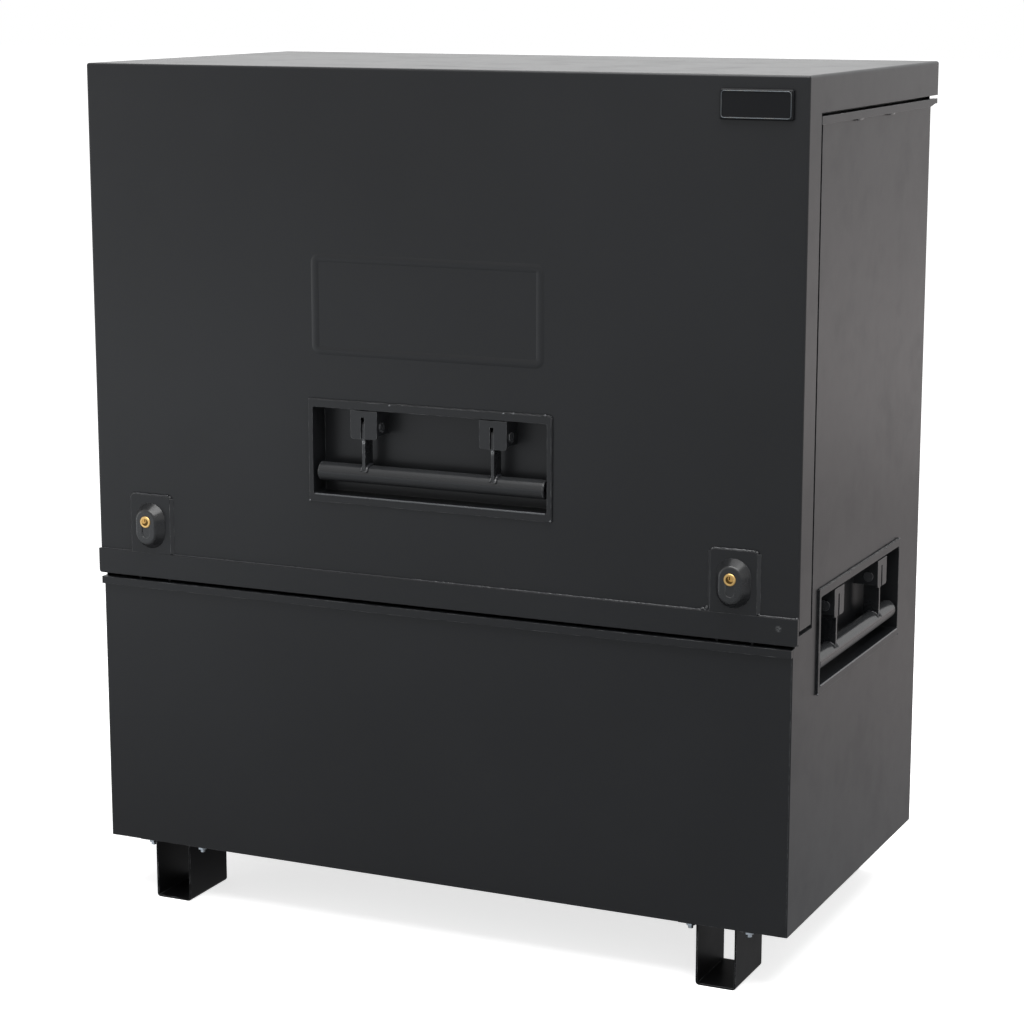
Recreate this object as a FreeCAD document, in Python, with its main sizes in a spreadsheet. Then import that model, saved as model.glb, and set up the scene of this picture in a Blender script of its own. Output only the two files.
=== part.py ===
import FreeCAD, Part
import math
import os
import re

import Sketcher
from FreeCAD import Rotation, Vector

# A steel site vault: a folded and welded box on four channel feet, with an L-shaped lid hinged along
# its rear top edge. The origin is on the floor under the middle of the whole vault. +X is to the right,
# +Y to the rear, +Z up. All sizes are in millimetres.

doc = FreeCAD.newDocument("tool_vault")
sizes = doc.addObject("Spreadsheet::Sheet", "sizes")

SIZES = (
    ("total_height", 1392, "floor to lid top"),
    ("sheet", 2, "steel sheet of body and lid"),
    ("overrun", 10, "how far a cut runs past the surface it opens"),
    ("fit_gap", 0.3, "gap round a piece that sits in a cut-out"),
    ("pin_gap", 0.05, "radial running gap of a pin in its bore"),
    # Lid
    ("lid_width", 1220, "lid over its side flanges"),
    ("lid_depth", 656, "lid front face to lid rear face"),
    ("lid_flange", 55, "depth of the lid's side and rear flanges and of its front cheeks"),
    ("cheek_drop", 814, "lid top to the lower edge of the cheeks"),
    ("lid_drop", 836, "lid top to the lower edge of the lid front"),
    ("fold_radius", 4, "outside radius of the lid's folds"),
    ("edge_bar_height", 41, "flat bar along the lid's lower front edge"),
    ("edge_bar_thick", 5, "thickness of that bar"),
    ("edge_bar_corner", 5, "radius of that bar's lower corners"),
    ("border_width", 395, "pressed border on the lid front"),
    ("border_height", 154, "pressed border, top to bottom"),
    ("border_gap", 74, "handle frame's upper edge to the border's lower edge"),
    ("border_shift", 3.5, "lid's middle to the border's, towards the left"),
    ("border_line", 8, "width of the border's raised line"),
    ("border_raise", 0.4, "how far the line stands out"),
    ("border_corner", 12, "outer radius of its corners"),
    ("badge_width", 112, "blank name plate"),
    ("badge_height", 44.5, "blank name plate, top to bottom"),
    ("badge_thick", 7, "thickness of the name plate"),
    ("badge_rim", 4, "width of its raised rim"),
    ("badge_sink", 0.8, "depth of its field below the rim"),
    ("badge_bevel", 2.2, "bevel round its front"),
    ("badge_corner", 3, "radius of its corners"),
    ("badge_side_gap", 23, "name plate to the lid's right side"),
    ("badge_drop", 20, "lid top to the name plate's upper edge"),
    ("rib_width", 60, "stiffening hats inside the lid"),
    ("rib_depth", 20, "height of the hats"),
    ("rib_brim", 14, "width of each brim of a hat"),
    ("rib_spacing", 600, "distance between the two hats of a pair"),
    ("rib_end_gap", 5, "hat ends to the flange line"),
    ("rib_sill_gap", 56, "hat ends to the lid's far edges"),
    # Body
    ("body_side_gap", 7.5, "lid's side face to the body's side face"),
    ("body_rear_gap", 14, "lid's rear face to the body's rear face"),
    ("body_step", 2, "how far the body front stands in front of the lid front"),
    ("body_corner", 1.5, "rounding of the body's upright edges"),
    ("rim_gap", 5.4, "gap between the lid's edges and the rim bars"),
    ("rim_bar_height", 12, "rim bars, top to bottom"),
    ("rim_bar_thick", 7.5, "how far the rim bars stand out"),
    ("rim_end_gap", 3, "side rim bar to the lid cheek"),
    ("ear_setback", 1.5, "rear end of a side rim bar to the lid's rear face"),
    ("ear_rise", 3.9, "how much the bar's lower edge rises behind the body"),
    ("ear_slope", 23, "length of the slope up to that"),
    ("rebate_depth", 84, "lid front to the side panels' stepped edge"),
    ("rebate_gap", 13, "cheek's lower edge to the side panels' ledge"),
    ("step_gap", 4, "lid front sheet to the upper part of the side panels"),
    ("jamb_inset", 14, "side panel's outer face to the jamb's outer face"),
    ("jamb_edge", 14, "lid's outer faces to the jamb's free edges"),
    ("jamb_lap", 20, "how far the jamb runs behind the side panel"),
    ("sill_depth", 47, "depth of the sill on the front panel"),
    ("sill_return", 25, "depth of the sill's lip"),
    ("floor_thick", 3, "floor plate"),
    ("floor_lip", 30, "upturned lips of the floor plate"),
    ("seal_width", 8, "rubber seal on the jambs"),
    # Hinge
    ("hinge_end_gap", 10, "body's side face to the hinge's end"),
    ("hinge_leaf", 2, "thickness of the leaves"),
    ("hinge_gap", 0.4, "rear panel to the knuckles"),
    ("knuckle_radius", 6, "outside radius of the knuckles"),
    ("hinge_pin_radius", 3, "hinge pin"),
    ("knuckle_gap", 0.5, "gap between knuckles and round them"),
    ("hinge_drop", 8.5, "lid flange's lower edge down to the hinge line"),
    ("lid_leaf_height", 40, "hinge line to the lid leaf's upper edge"),
    ("body_leaf_height", 38, "hinge line to the body leaf's lower edge"),
    # Feet
    ("foot_height", 100, "floor to body"),
    ("foot_side_gap", 116, "body's side face to a foot's middle"),
    ("foot_width", 66, "channel of a foot"),
    ("foot_wall", 3, "plate of a foot"),
    ("foot_flange", 30, "width of a foot's flanges"),
    ("foot_length", 118, "foot, front to rear"),
    ("foot_inset", 6, "body's front or rear face to the foot's end"),
    ("foot_corner", 6, "outside radius of the channel's bends"),
    ("foot_bolt_inset", 16, "foot's end to the bolts"),
    ("bolt_radius", 4, "foot bolts"),
    ("bolt_hole_radius", 4.5, "holes of the foot bolts"),
    ("bolt_flats", 13, "bolt heads and nuts across the flats"),
    ("bolt_head", 5.3, "thickness of a bolt head"),
    ("bolt_nut", 6.8, "thickness of a nut"),
    ("bolt_end", 5, "how far a bolt stands out of its nut"),
    # Recessed handles
    ("handle_drop", 600, "lid top to the middle of the front handle"),
    ("side_handle_drop", 856, "lid top to the middle of the side handles"),
    ("side_handle_depth", 320, "lid front to the middle of the side handles"),
    ("frame_width", 420, "frame round a handle recess"),
    ("frame_height", 164, "frame, top to bottom"),
    ("frame_thick", 3.4, "how far the frame stands out"),
    ("pan_width", 406, "handle recess"),
    ("pan_height", 140, "handle recess, top to bottom"),
    ("pan_depth", 38, "panel face to the back of the recess"),
    ("pan_sheet", 3, "sheet of the pan"),
    ("pan_corner", 3, "radius of the recess corners"),
    ("bracket_spacing", 224, "middle to middle of the two brackets"),
    ("bracket_width", 46.5, "channel bracket"),
    ("bracket_height", 45, "bracket, top to bottom"),
    ("bracket_thick", 4, "plate of the bracket"),
    ("bracket_corner", 5, "radius of its lower corners"),
    ("bracket_reach", 3, "how far the bracket stands in front of the panel"),
    ("bracket_top_gap", 3, "top of a side recess to the bracket"),
    ("slot_width", 6.5, "slot for the arm"),
    ("slot_shift", 2, "bracket's middle to the slot's, towards the left"),
    ("slot_top", 10.3, "bracket's upper edge to the slot's end"),
    ("pivot_depth", 13, "panel face to the pivot"),
    ("pivot_drop", 26.5, "bracket's upper edge to the pivot"),
    ("pin_radius", 5, "pivot pin of an arm"),
    ("pin_head_radius", 8.5, "low round heads of a pivot pin"),
    ("pin_head_thick", 1.5, "thickness of those heads"),
    ("arm_length", 77, "pivot to the middle of the tube"),
    ("arm_width", 26, "flat bar of the arms"),
    ("arm_thick", 5, "thickness of the arms"),
    ("tube_radius", 15, "grip tube"),
    ("tube_wall", 2.5, "wall of the grip tube"),
    ("tube_length", 394, "grip over its end plugs"),
    ("plug_thick", 3, "how far an end plug stands out of the tube"),
    ("plug_depth", 8, "how far it goes in"),
    ("plug_rounding", 2.4, "radius of the end plug's edge"),
    # Locks
    ("lock_side_gap", 102, "lid's side face to a lock's middle"),
    ("lock_drop", 740, "lid top to the middle of a lock"),
    ("lock_plate_width", 74, "welded plate round a lock"),
    ("lock_plate_above", 42, "lock's middle to the plate's upper edge"),
    ("lock_plate_thick", 5, "thickness of the plate"),
    ("lock_plate_corner", 7, "radius of the plate's upper corners"),
    ("oval_width", 56, "escutcheon at its foot"),
    ("oval_height", 76, "escutcheon at its foot, top to bottom"),
    ("oval_below", 8.5, "lock's middle to the escutcheon's middle"),
    ("escutcheon_height", 16, "how far the escutcheon stands out"),
    ("escutcheon_taper", 32, "slope of its flank, in degrees"),
    ("escutcheon_rounding", 4.5, "radius round its flat face"),
    ("face_slot_radius", 7, "sunk slot in its flat face"),
    ("face_slot_length", 20, "lock's middle to the slot's lower centre"),
    ("face_slot_depth", 1.5, "depth of the sunk slot"),
    ("cylinder_radius", 9.5, "brass lock cylinder"),
    ("cylinder_proud", 1.5, "cylinder in front of the escutcheon"),
    ("cylinder_tail", 4, "lid front face to the cylinder's inner end"),
    ("cylinder_bevel", 0.8, "bevel round its face"),
    ("plug_radius", 6, "turning plug"),
    ("plug_sink", 0.5, "plug's face behind the cylinder's"),
    ("keyway_width", 1.8, "key slot"),
    ("keyway_height", 5.2, "key slot, from the plug's middle up"),
    ("keyway_depth", 6, "key slot into the plug"),
    ("cam_gap", 0.5, "gaps in front of and behind the cam"),
    ("cam_thick", 3, "thickness of the cam"),
    ("cam_radius", 9.9, "plug's middle to the cam's pin"),
    ("cam_angle", 45, "the cam's lean from upright at rest, in degrees"),
    ("cam_width", 9, "width of the cam"),
    ("cam_pin_radius", 2.5, "the cam's pin"),
    ("cam_pin_length", 7, "pin, from the cam into the dead bolt"),
    ("case_width", 64, "lock case"),
    ("case_above", 37, "lock's middle to the case's top"),
    ("dead_bolt_width", 24, "dead bolt"),
    ("dead_bolt_thick", 12, "dead bolt, front to rear"),
    ("dead_bolt_above", 20, "lock's middle to the dead bolt's top"),
    ("notch_width", 6, "notch for the cam's pin"),
    ("notch_depth", 8, "notch, into the dead bolt"),
    ("keep_width", 60, "keep on the sill"),
    ("keep_thick", 4, "strap of the keep"),
    ("keep_drop", 4, "lock case to the keep's top"),
    ("keep_depth", 20, "keep, front to rear"),
    ("keep_gap", 0.6, "gap round the dead bolt in the keep"),
    # Gas struts
    ("strut_inset", 30.5, "side panel's outer face to the strut's line"),
    ("strut_low_setback", 168, "lid's rear face to the lower pivot"),
    ("strut_low_drop", 363.5, "lid top to the lower pivot"),
    ("strut_high_setback", 208, "lid's rear face to the upper pivot"),
    ("strut_high_drop", 33.5, "lid top to the upper pivot"),
    ("strut_radius", 11, "cylinder of a strut"),
    ("strut_bore", 10, "inside radius of the cylinder"),
    ("strut_rod_radius", 5, "rod of a strut"),
    ("strut_length", 236, "cylinder of a strut, end to end"),
    ("strut_end", 14, "pivot to the cylinder's end"),
    ("strut_cap", 6, "closed end and gland of the cylinder"),
    ("strut_piston", 12, "piston on the rod"),
    ("strut_cushion", 2, "closed end of the cylinder to the piston at rest"),
    ("strut_eye_radius", 9, "eye at either end"),
    ("strut_eye_thick", 12, "thickness of an eye"),
    ("stud_radius", 4, "stud of a strut"),
    ("stud_end", 3, "how far the stud stands out of the eye"),
    ("shoulder_radius", 7, "shoulder behind the eye"),
    ("mount_thick", 4, "plate of a strut's mount"),
    ("mount_width", 40, "strut mount, front to rear"),
    ("mount_height", 60, "strut mount, top to bottom"),
    ("tab_below", 12, "upper pivot to the lid tab's lower edge"),
)

for row, (alias, value, note) in enumerate(SIZES, start=1):
    sizes.set(f"A{row}", note)
    sizes.set(f"B{row}", str(value))
    sizes.setAlias(f"B{row}", alias)
doc.recompute()

ALIASES = {alias for alias, value, note in SIZES}
HEX_SIDES = 6
TOLERANCE = 1e-6
BODY_KNUCKLES = 8
LID_KNUCKLES = BODY_KNUCKLES - 1
QUARTER_TURN = 90
SIDES = (("left", -1), ("right", 1))

# Places worked out from the sizes. Depths run back from the lid's front face, heights up from the floor.
LOCK_REACH = "(lock_plate_thick + escutcheon_height + cylinder_proud)"
FRONT = f"(({LOCK_REACH} - lid_depth) / 2)"
FLANGE_EDGE = "(total_height - lid_flange)"
CHEEK_EDGE = "(total_height - cheek_drop)"
LID_EDGE = "(total_height - lid_drop)"
SKIN_TOP = f"({FLANGE_EDGE} - rim_gap)"
SILL_TOP = f"({LID_EDGE} - rim_gap)"
LEDGE = f"({CHEEK_EDGE} - rebate_gap)"
BODY_REAR = "(lid_depth - body_rear_gap)"
SKIN_OUTSIDE = "(lid_width / 2 - body_side_gap)"
SKIN_INSIDE = f"({SKIN_OUTSIDE} - sheet)"
JAMB_OUTSIDE = f"({SKIN_OUTSIDE} - jamb_inset)"
HINGE_END = f"({SKIN_OUTSIDE} - hinge_end_gap)"
HINGE_LENGTH = f"(2 * {HINGE_END})"
FOOT_MIDDLE = f"({SKIN_OUTSIDE} - foot_side_gap)"
LOCK_MIDDLE = "(lid_width / 2 - lock_side_gap)"
HINGE_DEPTH = f"({BODY_REAR} + hinge_gap + knuckle_radius)"
HINGE_HEIGHT = f"({FLANGE_EDGE} - hinge_drop)"
LOCK_HEIGHT = "(total_height - lock_drop)"
CASE_EDGE = f"({LID_EDGE} + edge_bar_height)"
BRACKET_TOP = "(pan_height / 2 - bracket_top_gap)"
PIVOT_HEIGHT = f"({BRACKET_TOP} - pivot_drop)"
TUBE_HEIGHT = f"({PIVOT_HEIGHT} - arm_length)"
HEX_RADIUS = "(bolt_flats / sqrt(3))"

nodes = []


def same(*values):
    """Whether lengths agree to within a rounding error."""
    return max(values) - min(values) < TOLERANCE


def link(text):
    """Turn each size that an expression names into a link to its cell."""
    def cell(word):
        name = word.group()
        return "sizes." + name if name in ALIASES else name
    return re.sub("[a-z_]+", cell, str(text))


def measure(item, text):
    """The present value of an expression."""
    result = item.evalExpression(link(text))
    return float(getattr(result, "Value", result))


def bind(item, **places):
    """Tie properties to expressions. Two underscores stand for a dot."""
    for name, text in places.items():
        item.setExpression(name.replace("__", "."), link(text))
    return item


def place(item, x=0, y=0, z=0):
    """Tie an object's position to expressions."""
    return bind(item, Placement__Base__x=x, Placement__Base__y=y, Placement__Base__z=z)


def node(item):
    """Keep an object as one of the vault's sub-parts, under its own name."""
    nodes.append(item)
    return item


def box(name, x, y, z):
    """A block between its low and high faces along each axis."""
    block = doc.addObject("Part::Box", name)
    place(block, x[0], y[0], z[0])
    spans = {"Length": x, "Width": y, "Height": z}
    for side, (low, high) in spans.items():
        block.setExpression(side, link(f"({high}) - ({low})"))
    return block


def bar(name, kind, axis, start, radius, length):
    """A cylinder or hexagon along an axis, from the middle of its first end."""
    turns = {
        "x": Rotation(Vector(0, 1, 0), QUARTER_TURN),
        "y": Rotation(Vector(1, 0, 0), -QUARTER_TURN),
        "z": Rotation(),
    }
    item = doc.addObject(kind, name)
    item.Placement.Rotation = turns[axis]
    if kind == "Part::Prism":
        item.Polygon = HEX_SIDES
        bind(item, Circumradius=radius, Height=length)
    else:
        bind(item, Radius=radius, Height=length)
    return place(item, *start)


def round_bar(name, axis, start, radius, length):
    return bar(name, "Part::Cylinder", axis, start, radius, length)


def hexagon(name, axis, start, length):
    return bar(name, "Part::Prism", axis, start, HEX_RADIUS, length)


def fuse(name, *pieces):
    item = doc.addObject("Part::MultiFuse", name)
    item.Shapes = list(pieces)
    return item


def cut(name, base, *tools):
    item = doc.addObject("Part::Cut", name)
    item.Base = base
    item.Tool = tools[0] if len(tools) == 1 else fuse(name + "_tools", *tools)
    return item


def group(name, *pieces):
    item = doc.addObject("Part::Compound", name)
    item.Links = list(pieces)
    return item


def new_body(name, x=0, y=FRONT, z=0):
    return place(doc.addObject("PartDesign::Body", name), x, y, z)


def new_sketch(body, role, name, lift=0):
    """A sketch on one of a body's own origin planes, or lifted off it along its normal."""
    item = body.newObject("Sketcher::SketchObject", name)
    base = next(plane for plane in body.Origin.OriginFeatures if plane.Role == role)
    item.AttachmentSupport = (base, [""])
    item.MapMode = "FlatFace"
    return bind(item, AttachmentOffset__Base__z=lift)


def pin_point(item, index, corner, x, y):
    """Hold a point of a sketch at two expressions."""
    for kind, text in (("DistanceX", x), ("DistanceY", y)):
        rule = Sketcher.Constraint(kind, -1, 1, index, corner, measure(item, text))
        number = item.addConstraint(rule)
        item.setExpression(f"Constraints[{number}]", link(text))


def outline(item, points):
    """A closed run of straight lines through points given as expressions."""
    first = item.GeometryCount
    count = len(points)
    spots = [Vector(measure(item, x), measure(item, y), 0) for x, y in points]
    for step in range(count):
        item.addGeometry(Part.LineSegment(spots[step], spots[(step + 1) % count]))
    for step in range(count):
        following = first + (step + 1) % count
        item.addConstraint(Sketcher.Constraint("Coincident", first + step, 2, following, 1))
    for step, (x, y) in enumerate(points):
        pin_point(item, first + step, 1, x, y)


def rectangle(item, x, y):
    outline(item, [(x[0], y[0]), (x[1], y[0]), (x[1], y[1]), (x[0], y[1])])


def circle(item, x, y, radius):
    middle = Vector(measure(item, x), measure(item, y), 0)
    index = item.addGeometry(Part.Circle(middle, Vector(0, 0, 1), measure(item, radius)))
    pin_point(item, index, 3, x, y)
    number = item.addConstraint(Sketcher.Constraint("Radius", index, measure(item, radius)))
    item.setExpression(f"Constraints[{number}]", link(radius))


def oval(item, low, high, radius):
    """An upright oblong with round ends, its end centres at two heights."""
    size = measure(item, radius)
    up = Vector(0, 0, 1)
    ends = []
    for height, start in ((high, 0), (low, math.pi)):
        middle = Vector(0, measure(item, height), 0)
        arc = Part.ArcOfCircle(Part.Circle(middle, up, size), start, start + math.pi)
        index = item.addGeometry(arc)
        ends.append(index)
        pin_point(item, index, 3, 0, height)
        number = item.addConstraint(Sketcher.Constraint("Radius", index, size))
        item.setExpression(f"Constraints[{number}]", link(radius))
        for end in (1, 2):
            item.addConstraint(Sketcher.Constraint("Horizontal", index, end, index, 3))
    upper, lower = ends
    for start, finish in (((upper, 2), (lower, 1)), ((lower, 2), (upper, 1))):
        line = Part.LineSegment(item.getPoint(*start), item.getPoint(*finish))
        index = item.addGeometry(line)
        item.addConstraint(Sketcher.Constraint("Coincident", index, 1, *start))
        item.addConstraint(Sketcher.Constraint("Coincident", index, 2, *finish))


def feature(body, kind, name, sketch, length, side="One side", back=False, second=None, taper=None):
    """A pad or pocket of a sketch."""
    item = body.newObject(kind, name)
    item.Profile = sketch
    item.SideType = side
    item.Reversed = back
    bind(item, Length=length)
    if second is not None:
        bind(item, Length2=second)
    if taper is not None:
        bind(item, TaperAngle=taper)
    sketch.Visibility = False
    return item


def pad(body, name, sketch, length, **ways):
    return feature(body, "PartDesign::Pad", name, sketch, length, **ways)


def pocket(body, name, sketch, length, **ways):
    """A pocket that has to take material away."""
    doc.recompute()
    before = body.Shape.Volume
    item = feature(body, "PartDesign::Pocket", name, sketch, length, **ways)
    doc.recompute()
    if not body.Shape.Volume < before:
        raise ValueError(f"{name} cuts nothing")
    return item


def dress(body, kind, name, wanted):
    """A fillet or chamfer on the edges whose bounding box a test accepts."""
    doc.recompute()
    base = body.Tip
    edges = enumerate(base.Shape.Edges, start=1)
    names = [f"Edge{number}" for number, edge in edges if wanted(edge.BoundBox)]
    if not names:
        raise ValueError(f"{name} found no edge")
    item = body.newObject(kind, name)
    item.Base = (base, names)
    return item


def round_edges(body, name, wanted, radius):
    return bind(dress(body, "PartDesign::Fillet", name, wanted), Radius=radius)


def bevel_edges(body, name, wanted, size):
    return bind(dress(body, "PartDesign::Chamfer", name, wanted), Size=size)


def span(sign, inner, outer):
    """Low and high x of a stretch that lies between two distances on one side of the middle."""
    return (inner, outer) if sign > 0 else (f"-({outer})", f"-({inner})")


def about(middle, width):
    """Low and high of a stretch around its middle."""
    return (f"({middle}) - ({width}) / 2", f"({middle}) + ({width}) / 2")


def behind(low, high):
    """Low and high y from two depths behind the lid's front face."""
    return (f"{FRONT} + ({low})", f"{FRONT} + ({high})")


# Lid: one sheet folded over the top, the upper front and the flanges
lid = node(new_body("lid_shell"))
section = new_sketch(lid, "YZ_Plane", "lid_section")
outline(section, [
    (0, "total_height"),
    ("lid_depth", "total_height"),
    ("lid_depth", FLANGE_EDGE),
    ("lid_flange", FLANGE_EDGE),
    ("lid_flange", CHEEK_EDGE),
    ("sheet", CHEEK_EDGE),
    ("sheet", LID_EDGE),
    (0, LID_EDGE),
])
pad(lid, "lid_block", section, "lid_width", side="Symmetric")


def lid_fold(edge):
    """The four edges of the top, and the two upright edges of the front."""
    on_top = same(edge.ZMin, edge.ZMax, measure(sizes, "total_height"))
    upright = same(edge.YMin, edge.YMax, 0) and same(edge.XMin, edge.XMax)
    return on_top or upright


round_edges(lid, "lid_folds", lid_fold, "fold_radius")
hollow = new_sketch(lid, "YZ_Plane", "lid_hollow_section")
outline(hollow, [
    ("sheet", "total_height - sheet"),
    ("lid_depth - sheet", "total_height - sheet"),
    ("lid_depth - sheet", f"{FLANGE_EDGE} - overrun"),
    ("lid_flange + overrun", f"{FLANGE_EDGE} - overrun"),
    ("lid_flange + overrun", f"{CHEEK_EDGE} - overrun"),
    ("sheet", f"{CHEEK_EDGE} - overrun"),
])
pocket(lid, "lid_hollow", hollow, "lid_width - 2 * sheet", side="Symmetric")

PAN_OUTSIDE = ("(pan_width + 2 * pan_sheet)", "(pan_height + 2 * pan_sheet)")
PAN_HOLE = tuple(f"({outside} + 2 * fit_gap)" for outside in PAN_OUTSIDE)
openings = new_sketch(lid, "XZ_Plane", "lid_openings")
rectangle(openings, about(0, PAN_HOLE[0]), about("total_height - handle_drop", PAN_HOLE[1]))
for side, sign in SIDES:
    circle(openings, f"{sign} * {LOCK_MIDDLE}", LOCK_HEIGHT, "cylinder_radius + fit_gap")
pocket(lid, "lid_cutouts", openings, "sheet + overrun")
BORDER_LOW = "(total_height - handle_drop + frame_height / 2 + border_gap)"
border = new_sketch(lid, "XZ_Plane", "border_line_section")
rectangle(
    border,
    about("-border_shift", "border_width"),
    (BORDER_LOW, f"{BORDER_LOW} + border_height"),
)
rectangle(
    border,
    about("-border_shift", "border_width - 2 * border_line"),
    (f"{BORDER_LOW} + border_line", f"{BORDER_LOW} + border_height - border_line"),
)
pad(lid, "border_line", border, "border_raise")


def border_corner(half_width):
    """A test for the line's corner edges at one distance from the border's middle."""
    def wanted(edge):
        reach = [abs(side + measure(sizes, "border_shift")) for side in (edge.XMin, edge.XMax)]
        short = same(edge.YLength, measure(sizes, "border_raise"))
        return short and same(*reach, measure(sizes, half_width))
    return wanted


outer_corner = border_corner("border_width / 2")
inner_corner = border_corner("border_width / 2 - border_line")
round_edges(lid, "border_outer_corners", outer_corner, "border_corner")
round_edges(lid, "border_inner_corners", inner_corner, "border_corner - border_line")

# Flat bar along the lid's lower front edge
edge_bar = node(new_body("edge_bar"))
face = new_sketch(edge_bar, "XZ_Plane", "edge_bar_face")
rectangle(face, about(0, "lid_width"), (LID_EDGE, CASE_EDGE))
pad(edge_bar, "edge_bar_plate", face, "edge_bar_thick")


def edge_bar_corner(edge):
    return same(edge.ZMin, edge.ZMax, measure(sizes, LID_EDGE)) and same(edge.XMin, edge.XMax)


round_edges(edge_bar, "edge_bar_rounding", edge_bar_corner, "edge_bar_corner")

# Name plate, left blank, with a plain raised rim
badge = node(new_body("name_plate"))
BADGE_MIDDLE = "lid_width / 2 - badge_side_gap - badge_width / 2"
BADGE_HEIGHT = "total_height - badge_drop - badge_height / 2"
field = new_sketch(badge, "XZ_Plane", "name_plate_face")
rectangle(field, about(BADGE_MIDDLE, "badge_width"), about(BADGE_HEIGHT, "badge_height"))
pad(badge, "name_plate_field", field, "badge_thick - badge_sink")
rim = new_sketch(badge, "XZ_Plane", "name_plate_rim_face")
rectangle(rim, about(BADGE_MIDDLE, "badge_width"), about(BADGE_HEIGHT, "badge_height"))
rectangle(
    rim,
    about(BADGE_MIDDLE, "badge_width - 2 * badge_rim"),
    about(BADGE_HEIGHT, "badge_height - 2 * badge_rim"),
)
pad(badge, "name_plate_rim", rim, "badge_thick")


def badge_corner(edge):
    """The outer edges that run front to rear."""
    half = measure(sizes, "badge_width / 2")
    middle = measure(sizes, BADGE_MIDDLE)
    across = same(edge.XMin, edge.XMax) and same(abs(edge.XMin - middle), half)
    return across and same(edge.ZMin, edge.ZMax)


def badge_front(edge):
    """The outer edges round the front face."""
    low, high = [measure(sizes, side) for side in about(BADGE_MIDDLE, "badge_width")]
    bottom, top = [measure(sizes, side) for side in about(BADGE_HEIGHT, "badge_height")]
    front = same(edge.YMin, edge.YMax, -measure(sizes, "badge_thick"))
    across = same(edge.XMin, low) or same(edge.XMax, high)
    return front and (across or same(edge.ZMin, bottom) or same(edge.ZMax, top))


round_edges(badge, "name_plate_corners", badge_corner, "badge_corner")
bevel_edges(badge, "name_plate_bevel", badge_front, "badge_bevel")


# Stiffening hats inside the lid, two under the top and two behind the front
def hat(sketch, middle, contact, sign):
    """A hat section whose brims lie on a sheet and whose crown stands off it."""
    half = "rib_width / 2"
    crown = "rib_width / 2 - rib_brim"
    inner = "rib_width / 2 - rib_brim - sheet"
    path = [(half, 0), (half, "sheet"), (crown, "sheet"), (crown, "rib_depth")]
    inside = [(inner, "rib_depth - sheet"), (inner, 0)]
    points = [(f"{middle} + {x}", y) for x, y in path]
    points += [(f"{middle} - ({x})", y) for x, y in reversed(path)]
    points += [(f"{middle} - ({x})", y) for x, y in reversed(inside)]
    points += [(f"{middle} + {x}", y) for x, y in inside]
    outline(sketch, [(x, f"{contact} + {sign} * ({y})") for x, y in points])


for where, plane, contact, sign in (
    ("top", "XZ_Plane", "total_height - sheet", -1),
    ("front", "XY_Plane", "sheet", 1),
):
    pair = []
    for side, hand in SIDES:
        if where == "top":
            rib = new_body(f"rib_{where}_{side}", y=f"{FRONT} + rib_sill_gap")
            length = "lid_depth - 2 * rib_sill_gap"
        else:
            rib = new_body(f"rib_{where}_{side}", z=f"{LID_EDGE} + rib_sill_gap")
            length = f"{FLANGE_EDGE} - rib_end_gap - ({LID_EDGE} + rib_sill_gap)"
        across = new_sketch(rib, plane, f"rib_{where}_{side}_section")
        hat(across, f"{hand} * rib_spacing / 2", contact, sign)
        pad(rib, f"rib_{where}_{side}_hat", across, length, back=where == "top")
        pair.append(rib)
    node(group(f"lid_ribs_{where}", *pair))


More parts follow.
